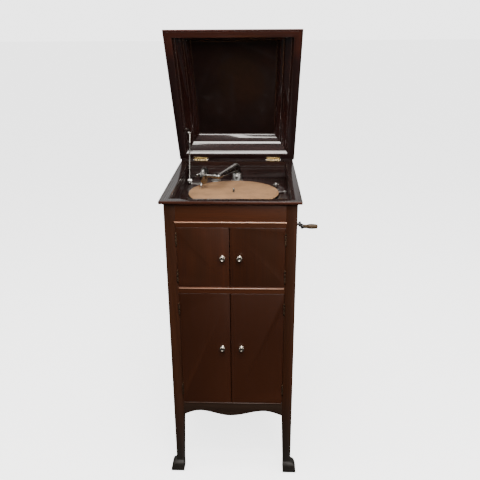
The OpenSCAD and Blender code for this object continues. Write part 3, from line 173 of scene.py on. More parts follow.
class CabinetColours(bpy.types.PropertyGroup):
    """Colours of the finishes."""
    post_wood: colour("Post wood", "Varnished wood of posts and legs", (0.039, 0.0125, 0.0050))
    rail_wood: colour("Rail wood", "Varnished wood of frieze and rails", (0.068, 0.0190, 0.0070))
    rim_wood: colour("Rim wood", "Varnished wood of the rim", (0.024, 0.0100, 0.0075))
    door_wood: colour("Door wood", "Varnished wood of doors and panels", (0.043, 0.0125, 0.0048))
    apron_wood: colour("Apron wood", "Varnished wood of the apron", (0.036, 0.0200, 0.0130))
    # The rim's lighter front band is painted light, and its darker top face is painted shade
    rim_front_painted_light: colour("Rim edge", "Lighter front edge of the rim", (0.052, 0.0160, 0.0090))
    # The uppermost bead's light colour is its wood with a painted highlight
    bead_wood_and_highlight: colour("Bead wood", "Uppermost bead's wood with a painted highlight", (0.560, 0.2900, 0.1850))
    bead_low: colour("Lower bead wood", "Varnish of the lowest bead", (0.036, 0.0150, 0.0080))
    rim_top_painted_shade: colour("Rim top", "Darkened top of the rim", (0.017, 0.0095, 0.0080))
    lid_wood: colour("Lid wood", "Varnished wood of the lid's front rail", (0.062, 0.0170, 0.0110))
    # The darker lower part of the lid's frame is painted shade
    lid_frame_painted_shade: colour("Lid side wood", "Darker lower part of the lid's frame", (0.024, 0.01, 0.009))
    moulding_wood: colour("Moulding wood", "Wood of the lid's moulding", (0.026, 0.0080, 0.0062))
    panel_wood: colour("Lid panel wood", "Lid's panel and the well", (0.018, 0.0065, 0.0050))
    inner_wood: colour("Inner wood", "Thinly stained wood of the inside", (0.060, 0.028, 0.016))
    # Nearly black colour that the legs reach towards the floor
    foot_dark_tone: colour("Foot dark tone", "Nearly black tone towards the feet", (0.018, 0.0155, 0.0130))
    brass: colour("Brass", "Lid hinges, screws and governor", (0.44, 0.36, 0.22))
    dull_brass: colour("Dull brass", "Door hinges", (0.26, 0.17, 0.11))
    knob: colour("Knob metal", "Turned door knobs", (0.62, 0.55, 0.46))
    nickel: colour("Nickel", "Plated fittings", (0.80, 0.78, 0.74))
    # A darker colour for the plated tone arm, soundbox, stay and spindle
    dark_plate: colour("Dark plate", "Darkened plate of tone arm and stay", (0.30, 0.29, 0.27))
    black: colour("Black metal", "Crank arm and motor", (0.030, 0.028, 0.026))
    steel: colour("Gear steel", "Gears and shafts of the motor", (0.40, 0.40, 0.41))
    felt: colour("Felt", "Felt on the turntable", (0.285, 0.150, 0.062))
    mica: colour("Mica", "Diaphragm", (0.15, 0.135, 0.11))
    handle: colour("Handle wood", "Turned crank handle", (0.085, 0.046, 0.019))
    floor: colour("Floor", "Studio floor", (0.93, 0.93, 0.93))


class CabinetSizes(bpy.types.PropertyGroup):
    """Sizes of what the dressing adds."""
    wood_edge: length("Wood edge", "Rounding of plain wooden edges", 0.0007, 0.003)
    metal_edge: length("Metal edge", "Rounding of metal and fine wooden edges", 0.00025, 0.002)
    screw_radius: length("Screw radius", "Radius of a hinge screw's head", 0.0021, 0.01)
    screw_height: length("Screw height", "How far a screw's head stands out", 0.00025, 0.005)
    slot_width: length("Slot width", "Width of the slot in a screw's head", 0.0005, 0.002)
    felt_wave: length("Felt wave", "Unevenness of the felt's surface", 0.00018, 0.001)


def tint(name):
    """A colour from the scene's settings."""
    return tuple(getattr(bpy.context.scene.cabinet_colours, name))


def sizes():
    """The scene's size settings."""
    return bpy.context.scene.cabinet_sizes


# ---------------------------------------------------------------- finishes

class Finish:
    """A node material under construction."""

    def __init__(self, name):
        self.material = bpy.data.materials.new(name)
        self.material.use_nodes = True
        self.tree = self.material.node_tree
        self.shader = self.tree.nodes["Principled BSDF"]

    def node(self, kind, **values):
        """Adds a node and sets its properties."""
        node = self.tree.nodes.new(kind)
        for key, value in values.items():
            setattr(node, key, value)
        return node

    def link(self, out, into):
        """Joins two sockets."""
        self.tree.links.new(out, into)

    def set(self, **values):
        """Sets the shader's own sockets."""
        for key, value in values.items():
            self.shader.inputs[key.replace("_", " ")].default_value = value

    def place(self, scale, turn=(0, 0, 0)):
        """Object coordinates, turned and scaled."""
        coords = self.node("ShaderNodeTexCoord")
        turned = self.node("ShaderNodeMapping", vector_type="POINT")
        turned.inputs["Rotation"].default_value = turn
        scaled = self.node("ShaderNodeMapping", vector_type="POINT")
        scaled.inputs["Scale"].default_value = scale
        self.link(coords.outputs["Object"], turned.inputs["Vector"])
        self.link(turned.outputs["Vector"], scaled.inputs["Vector"])
        return scaled.outputs["Vector"]

    def noise(self, vector, detail, rough=0.55, distortion=0.0):
        """Noise on the given, already scaled coordinates."""
        node = self.node("ShaderNodeTexNoise")
        node.inputs["Scale"].default_value = 1.0
        node.inputs["Detail"].default_value = detail
        node.inputs["Roughness"].default_value = rough
        node.inputs["Distortion"].default_value = distortion
        self.link(vector, node.inputs["Vector"])
        return node.outputs["Fac"]

    def ramp(self, value, stops):
        """A colour ramp with stops [(position, rgb)]."""
        node = self.node("ShaderNodeValToRGB")
        band = node.color_ramp
        while len(band.elements) < len(stops):
            band.elements.new(0.5)
        for element, (position, rgb) in zip(band.elements, stops):
            element.position = position
            element.color = (*rgb, 1)
        self.link(value, node.inputs["Fac"])
        return node.outputs["Color"]

    def spread(self, value, low, high, start=0.0, end=1.0):
        """Carries a value from one span to another."""
        node = self.node("ShaderNodeMapRange")
        for key, number in (("From Min", start), ("From Max", end),
                            ("To Min", low), ("To Max", high)):
            node.inputs[key].default_value = number
        self.link(value, node.inputs["Value"])
        return node.outputs["Result"]

    def along(self, axis, start, end):
        """A share that runs from 0 to 1 between two places on an axis of the object."""
        coords, parts = self.node("ShaderNodeTexCoord"), self.node("ShaderNodeSeparateXYZ")
        self.link(coords.outputs["Object"], parts.inputs[0])
        return self.spread(parts.outputs[axis], 0.0, 1.0, start, end)

    def blend(self, a, b, share):
        """Mixes two colours, each an rgb or a socket, by the value of a socket."""
        node = self.node("ShaderNodeMix", data_type="RGBA")
        for socket, value in ((node.inputs[6], a), (node.inputs[7], b)):
            if isinstance(value, bpy.types.NodeSocket):
                self.link(value, socket)
            else:
                socket.default_value = (*value, 1)
        self.link(share, node.inputs[0])
        return node.outputs[2]

    def darken(self, colour, shadow, share):
        """Multiplies a colour by another one, as far as share says."""
        node = self.node("ShaderNodeMix", data_type="RGBA", blend_type="MULTIPLY")
        node.inputs[0].default_value = share
        self.link(colour, node.inputs[6])
        self.link(shadow, node.inputs[7])
        return node.outputs[2]

    def times(self, value, factor):
        """A value multiplied by a number."""
        node = self.node("ShaderNodeMath", operation="MULTIPLY")
        self.link(value, node.inputs[0])
        node.inputs[1].default_value = factor
        return node.outputs[0]

    def bump(self, height, strength, distance):
        """Bumps the shader's normal."""
        node = self.node("ShaderNodeBump")
        node.inputs["Strength"].default_value = strength
        node.inputs["Distance"].default_value = distance
        self.link(height, node.inputs["Height"])
        self.link(node.outputs["Normal"], self.shader.inputs["Normal"])


def shade(rgb, factor):
    """A colour made lighter or darker."""
    return tuple(min(1.0, part * factor) for part in rgb)


def along_grain(pattern, axis):
    """The scale of a pattern on each axis, with the grain along one of them."""
    across, lengthwise = pattern
    return [lengthwise if letter == axis else across for letter in "XYZ"]


def wood(name, rgb, along="Z", rough=0.34, coat=0.35, contrast=0.4, turn=(0, 0, 0), fades=(),
         coat_fade=None, specular=0.3, coat_rough=0.07, coat_ior=1.5, relief=0.06):
    """Varnished wood with its grain along one axis. Each fade is an axis, another colour and the
    two places between which that colour gives way to the main one; coat_fade likewise is an axis
    and the two places between which the coat sets in."""
    f = Finish(name)
    grain = f.noise(f.place(along_grain(GRAIN, along), turn), 5, 0.6, 0.6)
    pores = f.noise(f.place(along_grain(PORES, along), turn), 3, 0.6)
    broad = f.noise(f.place(along_grain(MOTTLE, along), turn), 2, 0.5)
    body = f.ramp(grain, [(0.28, shade(rgb, 1 - 0.42 * contrast)), (0.5, rgb),
                          (0.72, shade(rgb, 1 + 0.75 * contrast))])
    dark = f.ramp(pores, [(0.36, (0.6, 0.6, 0.6)), (0.52, (1, 1, 1))])
    pored = f.darken(body, dark, 0.5)
    deep = (rgb[0] * 0.72, rgb[1] * 0.86, rgb[2] * 0.92)
    tone = f.blend(pored, deep, f.spread(broad, 0.0, 0.75, 0.42, 0.62))
    for axis, other, span in fades:
        tone = f.blend(other, tone, f.along(axis, *span))
    f.link(tone, f.shader.inputs["Base Color"])
    f.link(f.spread(pores, rough + 0.12, rough - 0.03, 0.3, 0.6), f.shader.inputs["Roughness"])
    f.bump(pores, relief, PORE_DEPTH)
    f.set(Coat_Weight=coat, Coat_Roughness=coat_rough, Coat_IOR=coat_ior,
          Specular_IOR_Level=specular)
    if coat_fade is not None:
        axis, span = coat_fade
        f.link(f.times(f.along(axis, *span), coat), f.shader.inputs["Coat Weight"])
    return f.material


def metal(name, rgb, rough=0.25, wear=0.35, scale=60.0, metallic=1.0, coat=0.0, front=None):
    """Metal with a little tarnish and fine scratches; front is its colour on the front."""
    f = Finish(name)
    cloud = f.noise(f.place((scale,) * 3), 4, 0.6)
    fine = f.noise(f.place((scale * 12, scale * 12, scale * 3)), 2, 0.5)
    tone = f.ramp(cloud, [(0.3, shade(rgb, 1 - wear)), (0.62, rgb), (0.85, shade(rgb, 1.12))])
    if front is not None:
        tone = f.blend(front, tone, f.along("Y", *FITTINGS_FRONT))
    f.link(tone, f.shader.inputs["Base Color"])
    f.link(f.spread(cloud, rough + 0.14, rough - 0.04, 0.3, 0.7), f.shader.inputs["Roughness"])
    f.bump(fine, 0.02, 0.0002)
    f.set(Metallic=metallic, Coat_Weight=coat, Coat_Roughness=0.15)
    return f.material


def felt_finish(name, rgb):
    """Short woven felt."""
    f = Finish(name)
    weave = f.noise(f.place((900, 900, 900)), 4, 0.7)
    stain = f.noise(f.place((22, 22, 22)), 5, 0.6)
    tone = f.ramp(stain, [(0.3, shade(rgb, 0.72)), (0.55, rgb), (0.8, shade(rgb, 1.18))])
    specks = f.ramp(weave, [(0.3, (0.62, 0.62, 0.62)), (0.6, (1, 1, 1))])
    f.link(f.darken(tone, specks, 0.8), f.shader.inputs["Base Color"])
    f.bump(weave, 0.6, 0.0006)
    f.set(Roughness=0.95, Sheen_Weight=0.12, Sheen_Roughness=0.5, Specular_IOR_Level=0.15)
    return f.material


def mica_finish(name, rgb):
    """Cloudy, half clear mica."""
    f = Finish(name)
    cloud = f.noise(f.place((160, 160, 160)), 5, 0.6)
    f.link(f.ramp(cloud, [(0.3, shade(rgb, 0.7)), (0.7, shade(rgb, 1.2))]),
           f.shader.inputs["Base Color"])
    f.set(Roughness=0.18, Coat_Weight=0.6, Coat_Roughness=0.08)
    return f.material


def wood_finishes():
    """How each wooden finish is made."""
    tilt = (-LID_OPEN, 0, 0)
    return {
        # Posts and legs turn darker towards the bottom, nearly black at the feet
        "post": lambda: wood("Post varnish", tint("post_wood"), "Z", 0.45, 0.0, specular=0.2,
                             fades=(("Z", tint("foot_dark_tone"), FOOT_DARKENING),)),
        # Doors and side panels: darker below the lower doors' top, painted shade, and lighter
        # again towards the bottom
        "door": lambda: wood("Door varnish", tint("door_wood"), "Z",
                             fades=(("Z", shade(tint("door_wood"), 0.76), LOWER_DOOR_SHADE_HEIGHTS),
                                    ("Z", shade(tint("door_wood"), 1.1), LOWER_DOORS))),
        "rail": lambda: wood("Rail varnish", tint("rail_wood"), "X"),
        "apron": lambda: wood("Apron varnish", tint("apron_wood"), "X"),
        # The beads turn lighter upwards: a painted highlight on the uppermost bead, and partly on
        # the middle one
        "bead": lambda: wood("Bead varnish", tint("bead_wood_and_highlight"), "X", 0.3, 1.0,
                             fades=(("Z", tint("bead_low"), BEAD_HIGHLIGHT_HEIGHTS),),
                             coat_fade=("Z", BEAD_GLOSS)),
        # Rim: front band painted lighter and top face painted darker, painted light and painted
        # shade on one wood
        "rim": lambda: wood("Rim varnish", tint("rim_wood"), "Y", 0.3, 1.0, specular=0.1,
                            fades=(("Y", tint("rim_front_painted_light"), RIM_FRONT_LIGHT_SPAN),
                                   ("Z", tint("rim_top_painted_shade"), RIM_TOP_SHADE_HEIGHTS)),
                            coat_fade=("Y", RIM_REAR), coat_rough=0.06),
        "well": lambda: wood("Well varnish", tint("panel_wood"), "Y"),
        # The lid's frame is painted darker below its front rail: painted shade
        "lid": lambda: wood("Lid varnish", tint("lid_wood"), "X", turn=tilt,
                            fades=(("Z", tint("lid_frame_painted_shade"), LID_SHADE_HEIGHTS),)),
        "moulding": lambda: wood("Lid moulding varnish", tint("moulding_wood"), "X", 0.22, 1.0,
                                 turn=tilt, coat_rough=0.08, coat_ior=1.9, relief=0.004,
                                 specular=0.15),
        "lid_inside": lambda: wood("Lid panel varnish", tint("panel_wood"), "Y", 0.45, 0.15, 0.2,
                                   turn=tilt),
        "inner": lambda: wood("Inner stain", tint("inner_wood"), "Y", 0.55, 0.1, 0.8),
        "handle": lambda: wood("Handle varnish", tint("handle"), "X", 0.45, 0.05, 0.4,
                               specular=0.2)}


def other_finishes():
    """How each finish of metal, felt and mica is made."""
    return {
        "brass": lambda: metal("Worn brass", tint("brass"), 0.24, front=tint("dull_brass")),
        "dull_brass": lambda: metal("Dull brass", tint("dull_brass"), 0.35),
        "knob": lambda: metal("Knob metal", tint("knob"), 0.16, 0.3),
        "nickel": lambda: metal("Nickel plate", tint("nickel"), 0.30, 0.3),
        # Plate of tone arm, soundbox, stay and spindle, in a darker colour
        "plate": lambda: metal("Dark plate", tint("dark_plate"), 0.18, 0.5),
        "black": lambda: metal("Black plate", tint("black"), 0.30, 0.3, 40.0, 0.6, 0.3),
        "steel": lambda: metal("Gear steel", tint("steel"), 0.32, 0.3),
        "felt": lambda: felt_finish("Turntable felt", tint("felt")),
        "mica": lambda: mica_finish("Diaphragm mica", tint("mica"))}


class Finishes:
    """Makes each finish once."""
    made = {}

    @classmethod
    def get(cls, key):
        """The finish of that name."""
        if key not in cls.made:
            cls.made[key] = {**wood_finishes(), **other_finishes()}[key]()
        return cls.made[key]


# ---------------------------------------------------------------- making pieces

def to_object(name, mesh, body, finish, stands_for=()):
    """Links a finished mesh as a piece that rides on a body."""
    piece = bpy.data.objects.new(name, mesh)
    bpy.context.scene.collection.objects.link(piece)
    mesh.materials.clear()
    mesh.materials.append(Finishes.get(finish))
    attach(piece, body)
    if stands_for:
        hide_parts(*stands_for)
    return piece


def evaluated(holder):
    """The plain mesh of an object with its modifiers applied; the object is removed."""
    bpy.context.view_layer.update()
    graph = bpy.context.evaluated_depsgraph_get()
    mesh = bpy.data.meshes.new_from_object(holder.evaluated_get(graph), depsgraph=graph)
    bpy.data.objects.remove(holder)
    return mesh


def body_of(node):
    """The CAD body that a node belongs to."""
    return NODES[node]["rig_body"]


def soften(node, finish, edge):
    """A copy of a CAD node with rounded edges and clean shading, which stands for it."""
    work = bmesh.new()
    work.from_mesh(NODES[node].data)
    bmesh.ops.remove_doubles(work, verts=work.verts, dist=SAME_PLACE)
    bmesh.ops.dissolve_limit(work, angle_limit=FLAT_ANGLE, verts=work.verts, edges=work.edges,
                             use_dissolve_boundaries=False)
    mesh = bpy.data.meshes.new(node + "_soft")
    work.to_mesh(mesh)
    work.free()
    mesh.shade_smooth()
    holder = bpy.data.objects.new("holder", mesh)
    bpy.context.scene.collection.objects.link(holder)
    bevel = holder.modifiers.new("Edge", "BEVEL")
    bevel.limit_method = "ANGLE"
    bevel.angle_limit = EDGE_ANGLE
    bevel.width = edge
    bevel.segments = 2
    bevel.harden_normals = True
    bevel.use_clamp_overlap = True
    result = evaluated(holder)
    return to_object(node + "_dressed", result, body_of(node), finish, (node,))


# ---------------------------------------------------------------- screws

def screw_tree(finish):
    """A tree that sets a slotted screw head on every vertex, along its 'out' attribute."""
    tree = bpy.data.node_groups.new("Screw heads", "GeometryNodeTree")
    face = tree.interface
    face.new_socket("Geometry", in_out="INPUT", socket_type="NodeSocketGeometry")
    for label in ("Radius", "Height", "Slot width"):
        face.new_socket(label, in_out="INPUT", socket_type="NodeSocketFloat")
    face.new_socket("Geometry", in_out="OUTPUT", socket_type="NodeSocketGeometry")
    add, link = tree.nodes.new, tree.links.new
    source, sink = add("NodeGroupInput"), add("NodeGroupOutput")

    def math_node(operation, a, b):
        node = add("ShaderNodeMath")
        node.operation = operation
        for socket, value in zip(node.inputs, (a, b)):
            if isinstance(value, (int, float)):
                socket.default_value = value
            else:
                link(value, socket)
        return node.outputs[0]

    head = add("GeometryNodeMeshCone")
    head.inputs["Vertices"].default_value = SCREW_SIDES
    link(source.outputs["Radius"], head.inputs["Radius Bottom"])
    link(math_node("MULTIPLY", source.outputs["Radius"], SCREW_TAPER), head.inputs["Radius Top"])
    link(math_node("MULTIPLY", source.outputs["Height"], 2.0), head.inputs["Depth"])
    sunk = add("GeometryNodeTransform")
    drop = add("ShaderNodeCombineXYZ")
    link(math_node("MULTIPLY", source.outputs["Height"], -1.0), drop.inputs["Z"])
    link(head.outputs["Mesh"], sunk.inputs["Geometry"])
    link(drop.outputs[0], sunk.inputs["Translation"])
    groove = add("GeometryNodeMeshCube")
    size = add("ShaderNodeCombineXYZ")
    link(math_node("MULTIPLY", source.outputs["Radius"], 3.0), size.inputs["X"])
    link(source.outputs["Slot width"], size.inputs["Y"])
    link(source.outputs["Height"], size.inputs["Z"])
    link(size.outputs[0], groove.inputs["Size"])
    lifted = add("GeometryNodeTransform")
    rise = add("ShaderNodeCombineXYZ")
    link(math_node("MULTIPLY", source.outputs["Height"], SLOT_LEVEL), rise.inputs["Z"])
    link(groove.outputs["Mesh"], lifted.inputs["Geometry"])
    link(rise.outputs[0], lifted.inputs["Translation"])
    cut = add("GeometryNodeMeshBoolean")
    cut.operation = "DIFFERENCE"
    link(sunk.outputs["Geometry"], cut.inputs["Mesh 1"])
    link(lifted.outputs["Geometry"], cut.inputs["Mesh 2"])
    out = add("GeometryNodeInputNamedAttribute")
    out.data_type = "FLOAT_VECTOR"
    out.inputs["Name"].default_value = "out"
    align = add("FunctionNodeAlignRotationToVector")
    align.axis = "Z"
    link(out.outputs["Attribute"], align.inputs["Vector"])
    twist = add("FunctionNodeRandomValue")
    twist.data_type = "FLOAT"
    twist.inputs[3].default_value = math.pi
    twist.inputs["Seed"].default_value = SCREW_SEED
    spin = add("ShaderNodeCombineXYZ")
    link(twist.outputs[1], spin.inputs["Z"])
    turned = add("FunctionNodeRotateRotation")
    turned.rotation_space = "LOCAL"
    link(align.outputs["Rotation"], turned.inputs["Rotation"])
    link(spin.outputs[0], turned.inputs["Rotate By"])
    spread = add("GeometryNodeInstanceOnPoints")
    link(source.outputs["Geometry"], spread.inputs["Points"])
    link(cut.outputs["Mesh"], spread.inputs["Instance"])
    link(turned.outputs["Rotation"], spread.inputs["Rotation"])
    real = add("GeometryNodeRealizeInstances")
    link(spread.outputs["Instances"], real.inputs["Geometry"])
    coat = add("GeometryNodeSetMaterial")
    coat.inputs["Material"].default_value = Finishes.get(finish)
    link(real.outputs["Geometry"], coat.inputs["Geometry"])
    link(coat.outputs["Geometry"], sink.inputs["Geometry"])
    return tree


def set_screws(name, body, spots, finish, slot, radius, height, slot_width):
    """One piece of screw heads; spots are (place, direction) pairs."""
    points = bpy.data.meshes.new(name)
    points.from_pydata([place for place, _ in spots], [], [])
    way = points.attributes.new("out", "FLOAT_VECTOR", "POINT")
    for item, (_, direction) in zip(way.data, spots):
        item.vector = direction
    holder = bpy.data.objects.new("holder", points)
    bpy.context.scene.collection.objects.link(holder)
    tree = screw_tree(finish)
    heads = holder.modifiers.new("Heads", "NODES")
    heads.node_group = tree
    values = {"Radius": radius, "Height": height, "Slot width": slot_width}
    for item in tree.interface.items_tree:
        if item.in_out == "INPUT" and item.name in values:
            heads[item.identifier] = values[item.name]
    mesh = evaluated(holder)
    return to_object(name, mesh, body, finish)


def hinge_spots(joint, side, heights):
    """Screws in the leaf of an upright door hinge, on the given side of its axis."""
    axis = Vector(JOINTS[joint]["pos_m"])
    return [((axis.x + side * LEAF_FACE, axis.y + LEAF_MIDDLE, z), (-side, 0, 0)) for z in heights]


# ---------------------------------------------------------------- operators

class CABINET_OT_posts(bpy.types.Operator):
    """Dresses the four posts with their legs and feet"""
    bl_idname = "cabinet.posts"
    bl_label = "Posts and feet"

    def execute(self, context):
        for place in ("front_left", "front_right", "rear_left", "rear_right"):
            soften(place + "_post", "post", sizes().wood_edge)
        return {"FINISHED"}


class CABINET_OT_panels(bpy.types.Operator):
    """Dresses the side and back panels and the inner boards"""
    bl_idname = "cabinet.panels"
    bl_label = "Panels and boards"

    def execute(self, context):
        for node in ("left_side_panel", "right_side_panel"):
            soften(node, "door", sizes().wood_edge)
        soften("motor_board", "well", sizes().metal_edge)
        for node in ("back_panel", "bottom_board", "horn_shelf", "record_dividers"):
            soften(node, "inner", sizes().wood_edge)
        return {"FINISHED"}


class CABINET_OT_rim(bpy.types.Operator):
    """Dresses the moulded rim and the boards round the well"""
    bl_idname = "cabinet.rim"
    bl_label = "Rim and well"

    def execute(self, context):
        soften("top_rim", "rim", sizes().metal_edge)
        soften("well_liner", "well", sizes().metal_edge)
        return {"FINISHED"}


class CABINET_OT_front(bpy.types.Operator):
    """Dresses the rails, the apron and the beads of the front"""
    bl_idname = "cabinet.front"
    bl_label = "Rails, apron and beads"

    def execute(self, context):
        for node, finish in (("front_rails", "rail"), ("front_apron", "apron"),
                             ("front_beads", "bead")):
            soften(node, finish, sizes().metal_edge)
        return {"FINISHED"}


class CABINET_OT_doors(bpy.types.Operator):
    """Dresses the four doors and their knobs"""
    bl_idname = "cabinet.doors"
    bl_label = "Doors and knobs"

    def execute(self, context):
        for place in ("upper_left", "upper_right", "lower_left", "lower_right"):
            soften(place + "_door", "door", sizes().wood_edge)
            soften(place + "_knob", "knob", sizes().metal_edge)
        return {"FINISHED"}


class CABINET_OT_lid(bpy.types.Operator):
    """Dresses the lid: frame, moulding and flat panel"""
    bl_idname = "cabinet.lid"
    bl_label = "Lid"

    def execute(self, context):
        soften("lid_frame", "lid", sizes().metal_edge)
        soften("lid_moulding", "moulding", sizes().metal_edge)
        soften("lid_panel", "lid_inside", sizes().metal_edge)
        return {"FINISHED"}


class CABINET_OT_horn(bpy.types.Operator):
    """Dresses the horn and its louvres"""
    bl_idname = "cabinet.horn"
    bl_label = "Horn and louvres"

    def execute(self, context):
        soften("horn", "inner", sizes().metal_edge)
        soften("horn_louvres", "rail", sizes().metal_edge)
        return {"FINISHED"}


class CABINET_OT_hinges(bpy.types.Operator):
    """Dresses hinge leaves and pins"""
    bl_idname = "cabinet.hinges"
    bl_label = "Hinges"

    def execute(self, context):
        for place in ("upper_left", "upper_right", "lower_left", "lower_right"):
            soften(place + "_hinge_leaves", "dull_brass", sizes().metal_edge / 2)
        for node in ("fixed_hinge_leaves", "hinge_pins", "lid_hinge_leaves"):
            soften(node, "brass", sizes().metal_edge / 2)
        return {"FINISHED"}


class CABINET_OT_stay(bpy.types.Operator):
    """Dresses the lid stay with its guide and brackets"""
    bl_idname = "cabinet.stay"
    bl_label = "Lid stay"

    def execute(self, context):
        for node, finish in (("stay_rod", "plate"), ("stay_guide", "nickel"),
                             ("stay_bracket", "nickel"), ("stay_lid_bracket", "plate")):
            soften(node, finish, sizes().metal_edge / 2)
        return {"FINISHED"}


class CABINET_OT_turntable(bpy.types.Operator):
    """Dresses platter and spindle, and lays the felt"""
    bl_idname = "cabinet.turntable"
    bl_label = "Turntable"

    def execute(self, context):
        soften("platter", "black", sizes().metal_edge)
        soften("spindle", "plate", sizes().metal_edge / 2)
        felt_mat()
        return {"FINISHED"}


def felt_mat():
    """The felt: a thin closed disc with soft edges and a slightly uneven face."""
    radius = (FELT_HIGH.x - FELT_LOW.x) / 2
    thick = FELT_HIGH.z - FELT_LOW.z
    rings, steps = FELT_RINGS, FELT_STEPS
    wave = sizes().felt_wave
    work = bmesh.new()
    tops, unders = [], []
    for i in range(rings + 1):
        r = FELT_HOLE + (radius - FELT_EDGE - FELT_HOLE) * i / rings
        soft = 0.0 if 0 < i < rings else FELT_EDGE
        for level, store in ((1, tops), (0, unders)):
            ring = []
            for k in range(steps):
                a = math.tau * k / steps
                ripple = math.sin(5 * a + 90 * r) * math.sin(3 * a - 130 * r + 1.3)
                z = FELT_LOW.z + (thick - soft - wave * (1 + ripple) / 2 if level else soft / 2)
                ring.append(work.verts.new((SPINDLE.x + r * math.cos(a),
                                            SPINDLE.y + r * math.sin(a), z)))
            store.append(ring)
    edge = [work.verts.new((SPINDLE.x + radius * math.cos(math.tau * k / steps),
                            SPINDLE.y + radius * math.sin(math.tau * k / steps),
                            FELT_LOW.z + thick / 2)) for k in range(steps)]
    bands = [*reversed(unders), *tops, edge]
    for inner, outer in zip(bands, bands[1:] + bands[:1]):
        for k in range(steps):
            n = (k + 1) % steps
            work.faces.new((inner[k], outer[k], outer[n], inner[n]))
    bmesh.ops.recalc_face_normals(work, faces=work.faces)
    mesh = bpy.data.meshes.new("turntable_felt")
    work.to_mesh(mesh)
    work.free()
    mesh.shade_smooth()
    piece = to_object("turntable_felt", mesh, "turntable", "felt", ("platter_felt",))


class CABINET_OT_sound(bpy.types.Operator):
    """Dresses tone arm, bracket and soundbox"""
    bl_idname = "cabinet.sound"
    bl_label = "Tone arm and soundbox"

    def execute(self, context):
        for node in ("tone_arm", "soundbox_neck", "soundbox"):
            soften(node, "plate", sizes().metal_edge)
        for node in ("tone_arm_bracket", "needle_bar"):
            soften(node, "nickel", sizes().metal_edge)
        soften("diaphragm", "mica", sizes().metal_edge)
        return {"FINISHED"}


class CABINET_OT_levers(bpy.types.Operator):
    """Dresses brake and speed levers and the needle cup"""
    bl_idname = "cabinet.levers"
    bl_label = "Levers and needle cup"

    def execute(self, context):
        for node in ("brake_lever", "speed_lever", "needle_cup"):
            soften(node, "nickel", sizes().metal_edge)
        return {"FINISHED"}


class CABINET_OT_motor(bpy.types.Operator):
    """Dresses the spring motor under the motor board"""
    bl_idname = "cabinet.motor"
    bl_label = "Spring motor"

    def execute(self, context):
        soften("motor_frame", "black", sizes().metal_edge)
        for node in ("spring_barrel", "spring_arbor", "winding_shaft"):
            soften(node, "steel", sizes().metal_edge / 2)
        soften("governor", "brass", sizes().metal_edge / 2)
        return {"FINISHED"}


class CABINET_OT_crank(bpy.types.Operator):
    """Dresses the crank, its handle and the escutcheon"""
    bl_idname = "cabinet.crank"
    bl_label = "Crank"

    def execute(self, context):
        soften("crank_arm", "black", sizes().metal_edge * 2)
        soften("crank_escutcheon", "nickel", sizes().metal_edge)
        soften("crank_handle", "handle", sizes().metal_edge)
        return {"FINISHED"}


class CABINET_OT_screws(bpy.types.Operator):
    """Sets the slotted screws of the door hinges"""
    bl_idname = "cabinet.screws"
    bl_label = "Screws"

    def execute(self, context):
        s = sizes()
        fit = {"radius": s.screw_radius, "height": s.screw_height, "slot_width": s.slot_width}
        cabinet, doors = [], {}
        for place in ("upper_left", "upper_right", "lower_left", "lower_right"):
            side = -1 if "left" in place else 1
            low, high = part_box(place + "_hinge_leaves")
            spots = [z + step for z in (low.z, high.z - HINGE_LENGTH) for step in HINGE_SCREWS]
            joint = place + "_door_open"
            doors[place] = hinge_spots(joint, -side, spots)
            cabinet += hinge_spots(joint, side, spots)
        set_screws("fixed_leaf_screws", "cabinet", cabinet, "brass", "brass", **fit)
        for place, spots in doors.items():
            set_screws(place + "_leaf_screws", place + "_door", spots, "brass", "brass", **fit)
        return {"FINISHED"}


class CABINET_OT_stage(bpy.types.Operator):
    """Sets floor, lights and the photograph's camera"""
    bl_idname = "cabinet.stage"
    bl_label = "Studio"

    def execute(self, context):
        make_floor()
        make_world()
        make_lights()
        make_camera()
        return {"FINISHED"}


def make_floor():
    """A wide pale floor, which the varnish doesn't mirror."""
    mesh = bpy.data.meshes.new("studio_floor")
    corners = ((-1, -1), (1, -1), (1, 1), (-1, 1))
    mesh.from_pydata([(FLOOR_SIZE * x, FLOOR_SIZE * y, FLOOR_LEVEL) for x, y in corners],
                     [], [(0, 1, 2, 3)])
    floor = bpy.data.objects.new("studio_floor", mesh)
    bpy.context.scene.collection.objects.link(floor)
    f = Finish("Studio floor")
    tone = tint("floor")
    dust = f.noise(f.place((0.8, 0.8, 0.8)), 2)
    f.link(f.ramp(dust, [(0.3, shade(tone, 0.985)), (0.7, tone)]), f.shader.inputs["Base Color"])
    f.set(Roughness=0.8, Specular_IOR_Level=0.1, Emission_Strength=FLOOR_GLOW)
    f.shader.inputs["Emission Color"].default_value = (1, 1, 1, 1)
    mesh.materials.append(f.material)
    floor.visible_glossy = False
    floor.visible_diffuse = False


def make_world():
    """A room that is dim below and brighter above, and pale where the camera sees it."""
    world = bpy.data.worlds.new("Studio")
    bpy.context.scene.world = world
    world.use_nodes = True
    tree = world.node_tree
    add, link = tree.nodes.new, tree.links.new
    back = tree.nodes["Background"]
    back.inputs["Color"].default_value = (1, 1, 1, 1)
    coords, parts = add("ShaderNodeTexCoord"), add("ShaderNodeSeparateXYZ")
    rise = add("ShaderNodeMapRange")
    link(coords.outputs["Generated"], parts.inputs[0])
    link(parts.outputs["Z"], rise.inputs["Value"])
    for key, value in (("From Min", ROOM_RISE[0]), ("From Max", ROOM_RISE[1]),
                       ("To Min", ROOM_LOW), ("To Max", ROOM_HIGH)):
        rise.inputs[key].default_value = value
    ray, pick = add("ShaderNodeLightPath"), add("ShaderNodeMix")
    link(ray.outputs["Is Camera Ray"], pick.inputs[0])
    link(rise.outputs[0], pick.inputs[2])
    pick.inputs[3].default_value = BACKDROP
    link(pick.outputs[0], back.inputs["Strength"])


